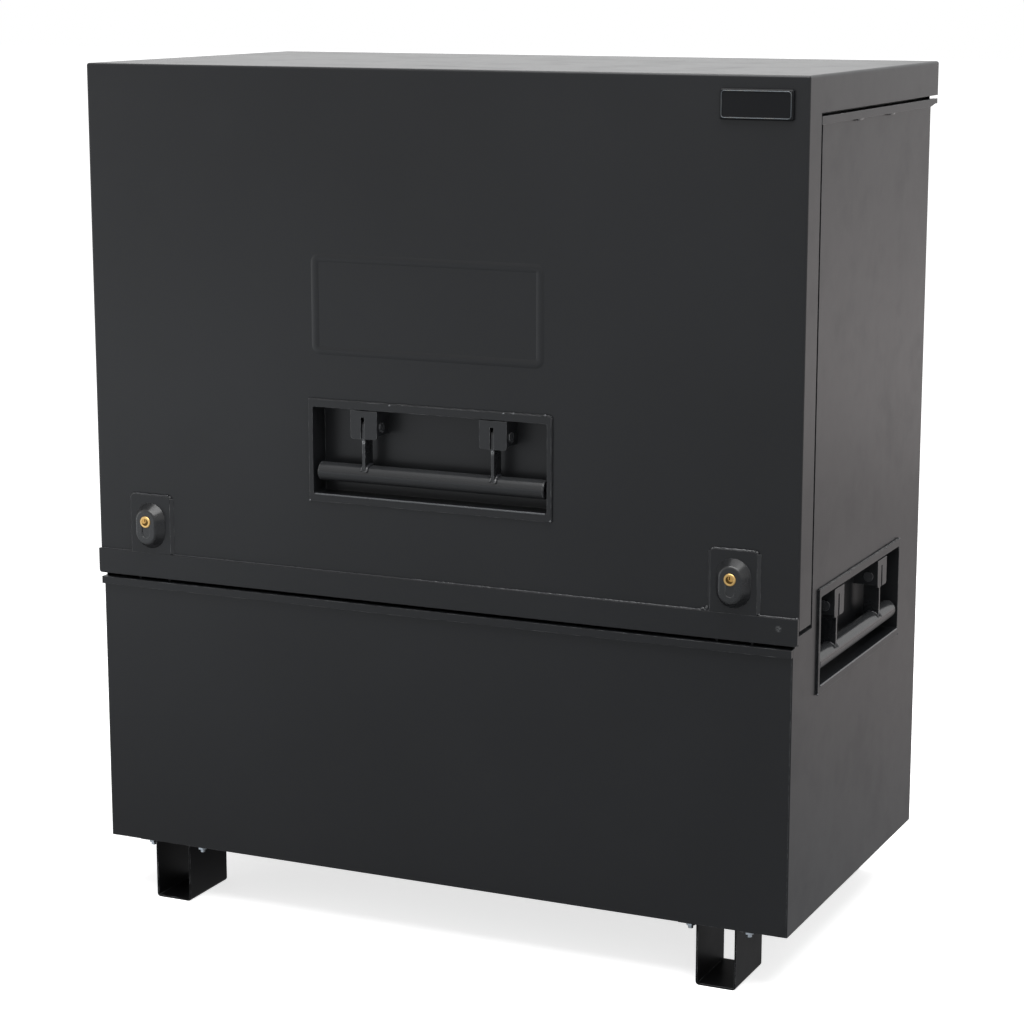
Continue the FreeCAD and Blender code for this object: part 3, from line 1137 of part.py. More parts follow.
# Two gas struts, their mounts on the side panels and under the lid top
STRUT_X = f"({SKIN_OUTSIDE} - strut_inset)"
EYE_INNER = f"({STRUT_X} - strut_eye_thick / 2)"
EYE_OUTER = f"({STRUT_X} + strut_eye_thick / 2)"
STRUT_LEAN = "atan((strut_high_setback - strut_low_setback) / (strut_low_drop - strut_high_drop))"
STRUT_REST = (
    "sqrt((strut_high_setback - strut_low_setback) ^ 2 + (strut_low_drop - strut_high_drop) ^ 2)"
)
LOW_Y = f"{FRONT} + lid_depth - strut_low_setback"
LOW_Z = "total_height - strut_low_drop"
HIGH_Z = "total_height - strut_high_drop"
body_mounts = []
lid_mounts = []
for side, sign in SIDES:
    mount_x = span(sign, f"{SKIN_INSIDE} - mount_thick", SKIN_INSIDE)
    mount_y = behind(*about("lid_depth - strut_low_setback", "mount_width"))
    plate = box(f"strut_mount_{side}_plate", mount_x, mount_y, about(LOW_Z, "mount_height"))
    stud_x = span(sign, f"{EYE_INNER} - stud_end", SKIN_INSIDE)
    length = f"{stud_x[1]} - ({stud_x[0]})"
    stud = round_bar(f"strut_mount_{side}_stud", "x", (stud_x[0], LOW_Y, LOW_Z), "stud_radius", length)
    neck_x = span(sign, f"{EYE_OUTER} + fit_gap", SKIN_INSIDE)
    length = f"{neck_x[1]} - ({neck_x[0]})"
    neck_at = (neck_x[0], LOW_Y, LOW_Z)
    neck = round_bar(f"strut_mount_{side}_shoulder", "x", neck_at, "shoulder_radius", length)
    body_mounts.append(fuse(f"strut_mount_{side}", plate, stud, neck))

    tab_high = f"{EYE_INNER} - fit_gap"
    tab_x = span(sign, f"{tab_high} - mount_thick", tab_high)
    pad_x = span(sign, f"{tab_high} - mount_width", tab_high)
    mount_y = behind(*about("lid_depth - strut_high_setback", "mount_width"))
    tab = box(f"lid_tab_{side}", tab_x, mount_y, (f"{HIGH_Z} - tab_below", "total_height - sheet"))
    base_z = ("total_height - sheet - mount_thick", "total_height - sheet")
    lid_mounts.append(fuse(f"lid_mount_{side}", tab, box(f"lid_mount_{side}_base", pad_x, mount_y, base_z)))

    eye_start = "-strut_eye_thick / 2"
    eye = round_bar(f"strut_{side}_eye", "x", (eye_start, 0, 0), "strut_eye_radius", "strut_eye_thick")
    stem = round_bar(f"strut_{side}_stem", "z", (0, 0, 0), "strut_rod_radius", "strut_end + strut_cap")
    tube = round_bar(f"strut_{side}_tube", "z", (0, 0, "strut_end"), "strut_radius", "strut_length")
    whole = fuse(f"strut_cylinder_{side}_whole", eye, stem, tube)
    bore_at = (0, 0, "strut_end + strut_cap")
    bore_length = "strut_length - 2 * strut_cap"
    bore = round_bar(f"strut_{side}_bore", "z", bore_at, "strut_bore", bore_length)
    gland = round_bar(f"strut_{side}_gland", "z", bore_at, "strut_rod_radius + pin_gap", "strut_length")
    hole_at = (f"{eye_start} - overrun", 0, 0)
    hole_length = "strut_eye_thick + 2 * overrun"
    hole = round_bar(f"strut_{side}_hole", "x", hole_at, "stud_radius + pin_gap", hole_length)
    cylinder = cut(f"strut_cylinder_{side}", whole, bore, gland, hole)

    rod_start = "strut_end + strut_cap + strut_cushion"
    piston_at = (0, 0, rod_start)
    rod_length = f"{STRUT_REST} - ({rod_start})"
    rod = round_bar(f"rod_{side}_bar", "z", piston_at, "strut_rod_radius", rod_length)
    piston = round_bar(f"rod_{side}_piston", "z", piston_at, "strut_bore - pin_gap", "strut_piston")
    top_eye = round_bar(
        f"rod_{side}_eye", "x", (eye_start, 0, STRUT_REST), "strut_eye_radius", "strut_eye_thick"
    )
    for piece in (cylinder, fuse(f"strut_rod_{side}", rod, piston, top_eye)):
        piece.Placement.Rotation = Rotation(Vector(1, 0, 0), measure(sizes, STRUT_LEAN))
        bind(piece, Placement__Rotation__Angle=STRUT_LEAN)
        node(place(piece, f"{sign} * {STRUT_X}", LOW_Y, LOW_Z))
node(group("strut_mounts_body", *body_mounts))
node(group("strut_mounts_lid", *lid_mounts))

# Check every object, then write one file for each sub-part
doc.recompute()
for item in doc.Objects:
    if "Invalid" in item.State or "Error" in item.State:
        raise ValueError(f"{item.Label} didn't recompute")
os.makedirs("parts", exist_ok=True)
for item in nodes:
    if item.Shape.isNull() or not item.Shape.isValid():
        raise ValueError(f"{item.Label} has no valid shape")
    item.Shape.exportStep(f"parts/{item.Label}.step")
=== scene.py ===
import math

import bpy
from mathutils import Euler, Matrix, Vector


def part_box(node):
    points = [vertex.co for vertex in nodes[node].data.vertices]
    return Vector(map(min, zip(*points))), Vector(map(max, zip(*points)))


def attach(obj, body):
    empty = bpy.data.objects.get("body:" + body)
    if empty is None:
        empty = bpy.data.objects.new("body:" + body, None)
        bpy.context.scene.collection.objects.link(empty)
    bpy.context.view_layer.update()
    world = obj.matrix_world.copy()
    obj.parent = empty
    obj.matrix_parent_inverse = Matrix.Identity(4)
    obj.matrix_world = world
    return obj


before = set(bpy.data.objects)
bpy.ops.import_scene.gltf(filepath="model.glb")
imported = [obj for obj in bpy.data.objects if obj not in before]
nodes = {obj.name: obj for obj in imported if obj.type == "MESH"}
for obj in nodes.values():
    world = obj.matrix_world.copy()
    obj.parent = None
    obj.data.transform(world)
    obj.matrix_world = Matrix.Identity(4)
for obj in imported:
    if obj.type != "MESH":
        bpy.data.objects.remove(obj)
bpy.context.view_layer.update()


# Body shell
# The deep box: two side panels, front and rear of 2 mm steel sheet and a 3 mm floor, cut, folded and
# welded along their edges, and baked in a satin charcoal powder coat.
def linear(colour):
    """Turn an sRGB hex colour into the linear colour that shaders take."""
    channels = []
    for place in (1, 3, 5):
        step = int(colour[place : place + 2], 16) / 255
        channels.append(step / 12.92 if step <= 0.04045 else ((step + 0.055) / 1.055) ** 2.4)
    return channels + [1]


def add(material, kind, **settings):
    """Add a shader node. A setting is one of its options, or a socket by name or, as i0, by number.
    A socket gets a plain value, or a link from an output or from a node's first output."""
    made = material.node_tree.nodes.new("ShaderNode" + kind)
    for key, value in settings.items():
        if hasattr(made, key):
            setattr(made, key, value)
            continue
        socket = made.inputs[int(key[1:]) if key[1:].isdigit() else key.replace("_", " ")]
        if isinstance(value, bpy.types.Node):
            value = value.outputs[0]
        if isinstance(value, bpy.types.NodeSocket):
            material.node_tree.links.new(value, socket)
        else:
            socket.default_value = value
    return made


def new_material(name):
    """Start an empty material, and return it with the place on the object that patterns read."""
    material = bpy.data.materials.new(name)
    material.use_nodes = True
    material.node_tree.nodes.clear()
    return material, add(material, "TexCoord").outputs["Object"]


def give(material, *names):
    """Put a finish in the material slots of these CAD nodes."""
    for name in names:
        slots = nodes[name].data.materials
        for number in range(len(slots)):
            slots[number] = material


def powder_coat(name, shade, rough=0.32, gloss=0.3, wear=0.5, scuffs=(), dust=0.0):
    """Baked powder coat: slow drift in tone, paler rubbed edges, scuffs, hand smears, orange peel,
    and dust with painted light paling what faces up where it is asked for. A pattern's scale is in
    waves per metre."""
    coat, place = new_material(name)
    # the shade drifts a little, in clouds half a metre across
    drift = add(coat, "TexNoise", Vector=place, Scale=2.1, Detail=2.0)
    tone = add(coat, "ValToRGB", Fac=drift)
    darker, lighter = tone.color_ramp.elements
    darker.position, lighter.position = 0.3, 0.7
    for stop, share in ((darker, 0.87), (lighter, 1.14)):
        stop.color = [channel * share for channel in linear(shade)[:3]] + [1]

    # edges are rubbed paler over about a millimetre, in chips up to 13 mm long
    rounded = add(coat, "Bevel", samples=6, Radius=0.0011)
    flat = add(coat, "NewGeometry").outputs["Normal"]
    turn = add(coat, "VectorMath", operation="DOT_PRODUCT", i0=rounded, i1=flat).outputs["Value"]
    edge = add(coat, "MapRange", Value=turn, From_Min=0.99, From_Max=0.82)
    knocks = add(coat, "TexNoise", Vector=place, Scale=75.0, Detail=5.0, Roughness=0.6)
    chips = add(coat, "MapRange", Value=knocks, From_Min=0.42, From_Max=0.7, To_Max=wear)
    worn = add(coat, "Math", operation="MULTIPLY", i0=edge, i1=chips)

    # A scuff is a round patch of scrapes. Real ones are finer than half a millimetre, too fine to
    # show, so they are drawn 2.4 mm apart.
    if scuffs:
        scrapes = add(coat, "TexNoise", Vector=place, Scale=420.0, Detail=3.0, Roughness=0.7)
        scraped = add(coat, "MapRange", Value=scrapes, From_Min=0.44, From_Max=0.6)
    for spot, radius in scuffs:
        reach = add(coat, "VectorMath", operation="DISTANCE", i0=place, i1=spot).outputs["Value"]
        inside = add(coat, "MapRange", Value=reach, From_Min=radius, From_Max=radius / 2)
        scuff = add(coat, "Math", operation="MULTIPLY", i0=inside, i1=scraped)
        scuff = add(coat, "Math", operation="MULTIPLY", i0=scuff, i1=wear)
        worn = add(coat, "Math", operation="MAXIMUM", i0=worn, i1=scuff)

    # smears from hands are 90 mm wide and duller, on a sheen that wavers in 26 mm patches
    hands = add(coat, "TexNoise", Vector=place, Scale=11.0, Detail=7.0, Roughness=0.62)
    smear = add(coat, "MapRange", Value=hands, From_Min=0.5, From_Max=0.78)
    patches = add(coat, "TexNoise", Vector=place, Scale=38.0, Detail=4.0)
    sheen = add(coat, "MapRange", Value=patches, To_Min=rough - 0.025, To_Max=rough + 0.025)
    dulled = add(coat, "Math", operation="MULTIPLY_ADD", i0=smear, i1=0.05, i2=sheen)

    # what faces up is paler, dust and painted light on top, and grease and dirt dull what faces down
    if dust:
        facing = add(coat, "SeparateXYZ", Vector=flat).outputs["Z"]
        dust_and_top_light = add(coat, "MapRange", Value=facing, From_Min=0.1, From_Max=0.95, To_Max=dust)
        worn = add(coat, "Math", operation="MAXIMUM", i0=worn, i1=dust_and_top_light)
        grimy = add(coat, "MapRange", Value=facing, From_Min=0.2, From_Max=-0.8, To_Max=0.35)
        dulled = add(coat, "Math", operation="ADD", i0=dulled, i1=grimy)
    colour = add(coat, "MixRGB", Fac=worn, Color1=tone, Color2=linear("#8b8d8f"))

    # The sheet itself waves every 300 mm. The orange peel on it is really about a millimetre
    # across, too fine to show, so it is drawn 2.5 mm across.
    sheet = add(coat, "TexNoise", Vector=place, Scale=3.4, Detail=1.0)
    wave = add(coat, "Bump", Distance=0.0009, Height=sheet, Normal=rounded)
    peel = add(coat, "TexNoise", Vector=place, Scale=400.0, Detail=1.5)
    skin = add(coat, "Bump", Distance=0.00005, Height=peel, Normal=wave)
    shader = add(
        coat,
        "BsdfPrincipled",
        Base_Color=colour,
        Roughness=dulled,
        Specular_IOR_Level=gloss,
        Normal=skin,
    )
    add(coat, "OutputMaterial", Surface=shader)
    return coat


# Satin powder coat on flat sheet: an even charcoal with a soft blurred sheen and thin paler edges.
body_coat = powder_coat("satin charcoal powder coat on the body", "#161719")
give(body_coat, "side_panel_left", "side_panel_right", "rear_panel", "front_panel", "floor_panel")
give(body_coat, "lock_keeps")


# Jambs and weather seal
# The jambs are set-in steel angles behind the lid's cheeks, coated thinner and duller than the
# outside, as the lid's ribs are. A black rubber strip is pressed on the jambs' free edges and on
# the rear panel's top.

# Thin powder coat without polish: nearly black in the shade, with hardly any sheen.
jamb_coat = powder_coat("dull inner powder coat", "#17181a", rough=0.42, gloss=0.25, wear=0.3)
give(jamb_coat, "jamb_left", "jamb_right", "lid_ribs_top", "lid_ribs_front")

# Moulded foam rubber: flat black without gloss, greyed by dust in patches 40 mm across. Its pores
# are under 0.3 mm, too fine to show, so they are drawn about 1 mm apart.
rubber, place = new_material("black foam rubber")
dust = add(rubber, "TexNoise", Vector=place, Scale=24.0, Detail=6.0)
tone = add(rubber, "ValToRGB", Fac=dust)
black, dusty = tone.color_ramp.elements
black.position, dusty.position = 0.35, 0.75
black.color, dusty.color = linear("#161616"), linear("#2c2b29")
pores = add(rubber, "TexVoronoi", Vector=place, Scale=900.0)
skin = add(rubber, "Bump", Distance=0.0002, Height=pores)
rough = add(rubber, "MapRange", Value=dust, To_Min=0.68, To_Max=0.86)
shader = add(rubber, "BsdfPrincipled", Base_Color=tone, Roughness=rough, Normal=skin)
add(rubber, "OutputMaterial", Surface=shader)
give(rubber, "weather_seal")


# Rim bars
# Square-edged flat steel bars under the lid's edge on the front and both sides. They are
# skip-welded from below, so short lumps of weld show through the coat under them.

# Satin powder coat on square edges: as on the body, with the corners rubbed paler by the lid.
rim_coat = powder_coat("satin powder coat on the rim bars", "#161719", wear=0.8)
give(rim_coat, "rim_bar_front", "rim_bar_left", "rim_bar_right")


def roughen(piece, depth, spacing):
    """Push a surface in and out with cloudy noise of this spacing, and keep the result."""
    cloud = bpy.data.textures.new("clouds", "CLOUDS")
    cloud.noise_scale = spacing
    cloud.noise_depth = 2
    push = piece.modifiers.new("uneven", "DISPLACE")
    push.texture = cloud
    push.texture_coords = "LOCAL"
    push.strength = depth
    push.mid_level = 0.5
    bpy.context.view_layer.objects.active = piece
    bpy.ops.object.modifier_apply(modifier=push.name)


def weld_lump(place, size):
    """One short run of weld: a ball drawn out to its size and left uneven."""
    bpy.ops.object.select_all(action="DESELECT")
    bpy.ops.mesh.primitive_uv_sphere_add(segments=14, ring_count=9, radius=1, location=place)
    lump = bpy.context.object
    bpy.ops.object.mode_set(mode="EDIT")
    bpy.ops.mesh.select_all(action="SELECT")
    bpy.ops.transform.resize(value=size, center_override=place)
    bpy.ops.object.mode_set(mode="OBJECT")
    bpy.ops.object.transform_apply(location=True, rotation=True, scale=True)
    roughen(lump, depth=0.35 * min(size), spacing=0.4 * max(size))
    return lump


def join(pieces, name):
    """Make one piece of several, smooth shaded, with its place in its mesh."""
    bpy.ops.object.select_all(action="DESELECT")
    for piece in pieces:
        piece.select_set(True)
    bpy.context.view_layer.objects.active = pieces[0]
    if len(pieces) > 1:
        bpy.ops.object.join()
    whole = bpy.context.object
    whole.name = name
    bpy.ops.object.shade_smooth()
    return whole


def finish(piece, material, body):
    """Give a new piece its finish and the body that carries it."""
    piece.data.materials.clear()
    piece.data.materials.append(material)
    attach(piece, body)
    return piece


# Where the runs of weld sit along each bar, and their sizes. Those on the side bars hang lower.
FRONT_RUNS = (-0.545, -0.36, -0.17, 0.02, 0.2, 0.39, 0.56)
FRONT_RUN_SIZE = (0.013, 0.0022, 0.0017)
RIGHT_RUNS = (-0.068, 0.096)
LEFT_RUNS = (-0.075, 0.09)
SIDE_RUN_SIZE = (0.0032, 0.017, 0.003)
SIDE_RUN_INSET = 0.0035
SIDE_RUN_DROP = 0.0008
low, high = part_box("rim_bar_front")
lumps = [weld_lump((run, high.y + 0.0002, low.z), FRONT_RUN_SIZE) for run in FRONT_RUNS]
low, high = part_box("rim_bar_right")
for run in RIGHT_RUNS:
    lumps.append(weld_lump((high.x - SIDE_RUN_INSET, run, low.z - SIDE_RUN_DROP), SIDE_RUN_SIZE))
low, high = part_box("rim_bar_left")
for run in LEFT_RUNS:
    lumps.append(weld_lump((low.x + SIDE_RUN_INSET, run, low.z - SIDE_RUN_DROP), SIDE_RUN_SIZE))

# Powder coat over weld: it pulls thin and glossy on the beads, so they catch a bright uneven light.
weld_coat = powder_coat("powder coat over weld", "#26272a", rough=0.27, gloss=0.6, wear=1.0)
finish(join(lumps, "rim_bar_skip_welds"), weld_coat, "vault")


# Lid shell
# One steel sheet folded into top, front, side flanges and cheeks, with a plain rounded border
# pressed into its front and the same satin coat baked on it.

# Satin powder coat on folded sheet: as on the body, with the folds rubbed a little paler.
lid_coat = powder_coat("satin charcoal powder coat on the lid", "#161719", wear=0.6)
give(lid_coat, "lid_shell")


# Pressed border
# A plain rounded ridge stamped out of the lid's steel front from behind. It is under a millimetre
# high, with soft flanks and rounded corners, and the field inside it is left bare.
def raised_frame(middle, wide, tall, corner, rounds, half, rise, steps):
    """A rounded ridge on an upright front, of this half width and rise, round a blank field with
    rounded corners. It is inset from its outer edge in steps, and its field is taken out."""
    bpy.ops.object.select_all(action="DESELECT")
    bpy.ops.mesh.primitive_plane_add(size=1, location=middle, rotation=(math.pi / 2, 0, 0))
    ridge = bpy.context.object
    bpy.ops.object.transform_apply(location=True, rotation=True, scale=True)
    bpy.ops.object.mode_set(mode="EDIT")
    bpy.ops.mesh.select_all(action="SELECT")
    bpy.ops.transform.resize(value=(wide, 1, tall), center_override=middle)
    bpy.ops.mesh.bevel(affect="VERTICES", offset=corner, segments=rounds)
    before = 0.0
    for step in range(1, steps + 1):
        across = -1 + 2 * step / steps
        height = rise * (1 - across**2)
        bpy.ops.mesh.inset(thickness=2 * half / steps, depth=height - before)
        before = height
    bpy.ops.mesh.delete(type="FACE")
    bpy.ops.object.mode_set(mode="OBJECT")
    return ridge


# The ridge's foot is sunk a little into the sheet. The field's middle is just left of the lid's.
RIDGE_HALF = 0.0068
RIDGE_RISE = 0.0008
RIDGE_CORNER = 0.0148
RIDGE_SUNK = 0.0004
FIELD_WIDE, FIELD_TALL = 0.387, 0.146
FIELD_X = -0.0035
FIELD_BELOW_TOP = 0.367
low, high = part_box("lid_shell")
border = raised_frame(
    middle=Vector((FIELD_X, low.y + RIDGE_SUNK, high.z - FIELD_BELOW_TOP)),
    wide=FIELD_WIDE + 2 * RIDGE_HALF,
    tall=FIELD_TALL + 2 * RIDGE_HALF,
    corner=RIDGE_CORNER,
    rounds=8,
    half=RIDGE_HALF,
    rise=RIDGE_RISE,
    steps=8,
)
finish(join([border], "pressed_border"), lid_coat, "lid")


# Edge bar
# A flat steel bar welded along the lid's lower front edge. The bead along its top is hand laid and
# uneven, thicker in its right half, and the bar's right end is scuffed.
# The scuff is 12 mm wide, 30 mm in from the end and 16 mm below the top.
low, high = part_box("edge_bar")
scuffed_end = [((high.x - 0.03, low.y, high.z - 0.016), 0.006)]

# Satin powder coat, hardly rubbed: as on the lid, but for a small grey scuff near the right end.
bar_coat = powder_coat(
    "satin powder coat on the edge bar", "#161719", wear=0.22, scuffs=scuffed_end
)
give(bar_coat, "edge_bar")


BEAD_RING = 0.002
BEAD_LUMPS, BEAD_SWELLS = 0.004, 0.02


def weld_bead(start, end, radius, depth, sides=8):
    """A long bead: a thin many-sided rod, cut into short rings between its ends and left uneven, in
    lumps and in slower swells."""
    start, end = Vector(start), Vector(end)
    length = (end - start).length
    along = (end - start).normalized()
    bpy.ops.object.select_all(action="DESELECT")
    bpy.ops.mesh.primitive_cylinder_add(
        vertices=sides,
        radius=radius,
        depth=length,
        location=(start + end) / 2,
        rotation=along.to_track_quat("Z", "Y").to_euler(),
    )
    bead = bpy.context.object
    bpy.ops.object.transform_apply(location=True, rotation=True, scale=True)
    # the long edges are cut twice over, each time into about the square root of the rings
    cuts = max(1, round(math.sqrt(length / BEAD_RING)) - 1)
    for _ in range(2):
        bpy.ops.object.mode_set(mode="EDIT")
        bpy.ops.mesh.select_all(action="DESELECT")
        bpy.ops.mesh.select_mode(type="EDGE")
        bpy.ops.object.mode_set(mode="OBJECT")
        corners = bead.data.vertices
        for edge in bead.data.edges:
            run = corners[edge.vertices[1]].co - corners[edge.vertices[0]].co
            edge.select = abs(run.normalized().dot(along)) > 0.99
        bpy.ops.object.mode_set(mode="EDIT")
        bpy.ops.mesh.subdivide(number_cuts=cuts)
        bpy.ops.object.mode_set(mode="OBJECT")
    roughen(bead, depth, BEAD_LUMPS)
    roughen(bead, depth * 1.2, BEAD_SWELLS)
    return bead


thin_y, thick_y = high.y - 0.0004, high.y - 0.0006
thin = weld_bead((low.x + 0.006, thin_y, high.z), (-0.02, thin_y, high.z), 0.0013, 0.0008)
thick = weld_bead((-0.03, thick_y, high.z), (high.x - 0.003, thick_y, high.z), 0.0019, 0.0013)
blobs = [thin, thick]
# how far along the bar and above its top each blob on the bead sits, and its size
for along, rise, size in (
    (0.459, 0.002, (0.004, 0.0025, 0.003)),
    (0.4655, 0.004, (0.003, 0.0025, 0.004)),
    (0.472, 0.001, (0.005, 0.0025, 0.0025)),
    (0.547, 0.0015, (0.003, 0.002, 0.0022)),
    (0.607, 0.0005, (0.0025, 0.003, 0.0028)),
    (-0.5455, 0.001, (0.004, 0.002, 0.0025)),
    (-0.4705, 0.0012, (0.003, 0.002, 0.0022)),
):
    blobs.append(weld_lump((along, high.y - 0.001, high.z + rise), size))
finish(join(blobs, "edge_bar_weld"), weld_coat, "lid")


# Recessed handles
# Each is a welded steel pan with a proud frame, two slotted channel brackets, flat arms on
# low-headed pins and a tube with closed ends. The arms are rubbed bright just under the brackets.
PROUD = 0.0034  # how far a frame stands out of its panel
HALF_ARM = 0.0025
RUBBED_Z, RUBBED_RADIUS = 0.8105, 0.0045

# Satin powder coat in a recess: a little duller, so the pan looks dark behind its rubbed frame.
tray_coat = powder_coat(
    "satin powder coat in the handle pans", "#17181a", rough=0.35, gloss=0.32, wear=0.8
)
give(tray_coat, "handle_tray_front", "handle_tray_left", "handle_tray_right")

# Powder coat rubbed by the brackets: smooth, with a pale scraped spot on the front of each arm.
low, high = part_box("grip_arms_front")
arms = (low.x + HALF_ARM, high.x - HALF_ARM)
rubbed = [((arm_x, low.y, RUBBED_Z), RUBBED_RADIUS) for arm_x in arms]
arm_coat = powder_coat(
    "rubbed powder coat on the arms", "#18191b", rough=0.27, gloss=0.5, wear=1.0, scuffs=rubbed
)

# Satin powder coat on small plates: a shade lighter than the pan behind, as painted light on
# the brackets, with pale cut edges.
lit_bracket_coat = powder_coat(
    "satin powder coat on the handle brackets", "#1a1b1d", gloss=0.36, wear=1.0
)

# Powder coat polished by hands: a long soft highlight under a trace of dust and painted light on
# top, and grime below.
handle_coat = powder_coat(
    "smooth powder coat on the grips", "#18191b", rough=0.22, gloss=0.42, wear=0.9, dust=0.07
)

# Powder coat worn through on a turning pin: shiny, and paler partly from wear and partly as a
# painted highlight, a bright dot beside each bracket.
worn_and_lit_pin_coat = powder_coat(
    "rubbed powder coat on the pivot pins", "#2e2f31", rough=0.2, gloss=1.0, wear=1.0
)
for side in ("front", "left", "right"):
    give(arm_coat, f"grip_arms_{side}")
    give(worn_and_lit_pin_coat, f"pivot_pins_{side}")
    give(lit_bracket_coat, f"handle_brackets_{side}")
    give(handle_coat, f"grip_tube_{side}", f"grip_plugs_{side}")

# The welds are modelled once, with x along the grip, y inward and z up from the recess's middle,
# and then copied to each handle. The beads along the frame's top and right side come first.
low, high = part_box("handle_tray_front")
wide, tall = (high.x - low.x) / 2, (high.z - low.z) / 2
front_spot = Vector((0, low.y + PROUD, (low.z + high.z) / 2))
top_bead = weld_bead(
    (-wide + 0.002, -0.0012, tall), (wide - 0.002, -0.0012, tall), radius=0.0018, depth=0.0018
)
right_bead = weld_bead(
    (wide, -0.001, -tall + 0.002), (wide, -0.001, tall - 0.002), radius=0.0018, depth=0.0012
)
frame_bead = join([top_bead, right_bead], "frame_bead")

# The lower lip is a nearly even bead on the frame's bottom bar, pale as a painted highlight, and
# the tacks are single dots of weld, placed across and up from the recess's middle.
LIP_UP = 0.0118
TACKS = (
    (-0.2095, -0.0815),
    (0.2085, -0.0806),
    (-0.0661, 0.0801),
    (0.1299, 0.0812),
    (0.1467, 0.0823),
    (0.2002, 0.083),
)
lip_z = -tall + LIP_UP
lip_highlight_bead = weld_bead(
    (-wide + 0.01, -0.003, lip_z), (wide - 0.01, -0.003, lip_z), radius=0.0016, depth=0.0003
)
tacks = [weld_lump((across, -0.0028, rise), (0.0022, 0.0016, 0.0017)) for across, rise in TACKS]
tack_welds_and_lip_highlight = join([lip_highlight_bead] + tacks, "tack_welds_and_lip_highlight")

# A ring of weld runs round the tube on each side of each arm, and only its top shows. So a ring
# is cut off below a plane that faces up and a little forwards.
BESIDE_ARM = 0.0046
KEPT_FROM = 0.78  # of the tube's radius
low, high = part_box("grip_tube_front")
tube_radius = (high.z - low.z) / 2
tube_middle = Vector((0, (low.y + high.y) / 2 - front_spot.y, 0))
up_front = Vector((0, -0.35, 1))
seams = []
for arm_x in arms:
    for hand in (-1, 1):
        spot = tube_middle + Vector((arm_x + hand * BESIDE_ARM, 0, 0))
        bpy.ops.object.select_all(action="DESELECT")
        bpy.ops.mesh.primitive_torus_add(
            major_radius=tube_radius + 0.0004,
            minor_radius=0.0022 + 0.0007 * hand,
            major_segments=96,
            minor_segments=12,
            location=spot,
            rotation=(0, math.pi / 2, 0),
        )
        seam = bpy.context.object
        bpy.ops.object.transform_apply(location=True, rotation=True, scale=True)
        bpy.ops.object.mode_set(mode="EDIT")
        bpy.ops.mesh.select_all(action="SELECT")
        bpy.ops.mesh.bisect(
            plane_co=spot + up_front.normalized() * tube_radius * KEPT_FROM,
            plane_no=up_front,
            use_fill=True,
            clear_inner=True,
        )
        bpy.ops.object.mode_set(mode="OBJECT")
        roughen(seam, depth=0.0016, spacing=0.005)
        seams.append(seam)
arm_weld = join(seams, "arm_weld")

# Powder coat knocked thin on high spots: small pale dots, and along each lower lip a pale line
# that is a painted highlight.
tack_and_lip_highlight_coat = powder_coat(
    "thin rubbed coat on the tack welds and lower lips", "#3c3e41", rough=0.26, gloss=0.8, wear=1.0
)

# where each handle's welds go, how far they are turned, and the bodies that carry frame and grip
low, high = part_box("handle_tray_right")
right_spot = Vector((high.x - PROUD, (low.y + high.y) / 2, (low.z + high.z) / 2))
left_spot = Vector((-right_spot.x, right_spot.y, right_spot.z))
SPOTS = {
    "front": (front_spot, 0, "lid", "front_handle"),
    "right": (right_spot, math.pi / 2, "vault", "right_handle"),
    "left": (left_spot, -math.pi / 2, "vault", "left_handle"),
}
for side, (spot, turn, holder, grip) in SPOTS.items():
    low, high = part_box(f"grip_tube_{side}")
    tube_spot = Vector((spot.x, spot.y, (low.z + high.z) / 2))
    for master, coat, place, body, slot in (
        (frame_bead, tray_coat, spot, holder, "tray_paint"),
        (tack_welds_and_lip_highlight, tack_and_lip_highlight_coat, spot, holder, "tray_paint"),
        (arm_weld, weld_coat, tube_spot, grip, "handle_paint"),
    ):
        piece = bpy.data.objects.new(f"{master.name}_{side}", master.data.copy())
        bpy.context.scene.collection.objects.link(piece)
        piece.location = place
        piece.rotation_euler = (0, 0, turn)
        bpy.ops.object.select_all(action="DESELECT")
        piece.select_set(True)
        bpy.context.view_layer.objects.active = piece
        bpy.ops.object.transform_apply(location=True, rotation=True, scale=True)
        finish(piece, coat, body)
for master in (frame_bead, tack_welds_and_lip_highlight, arm_weld):
    bpy.data.objects.remove(master)


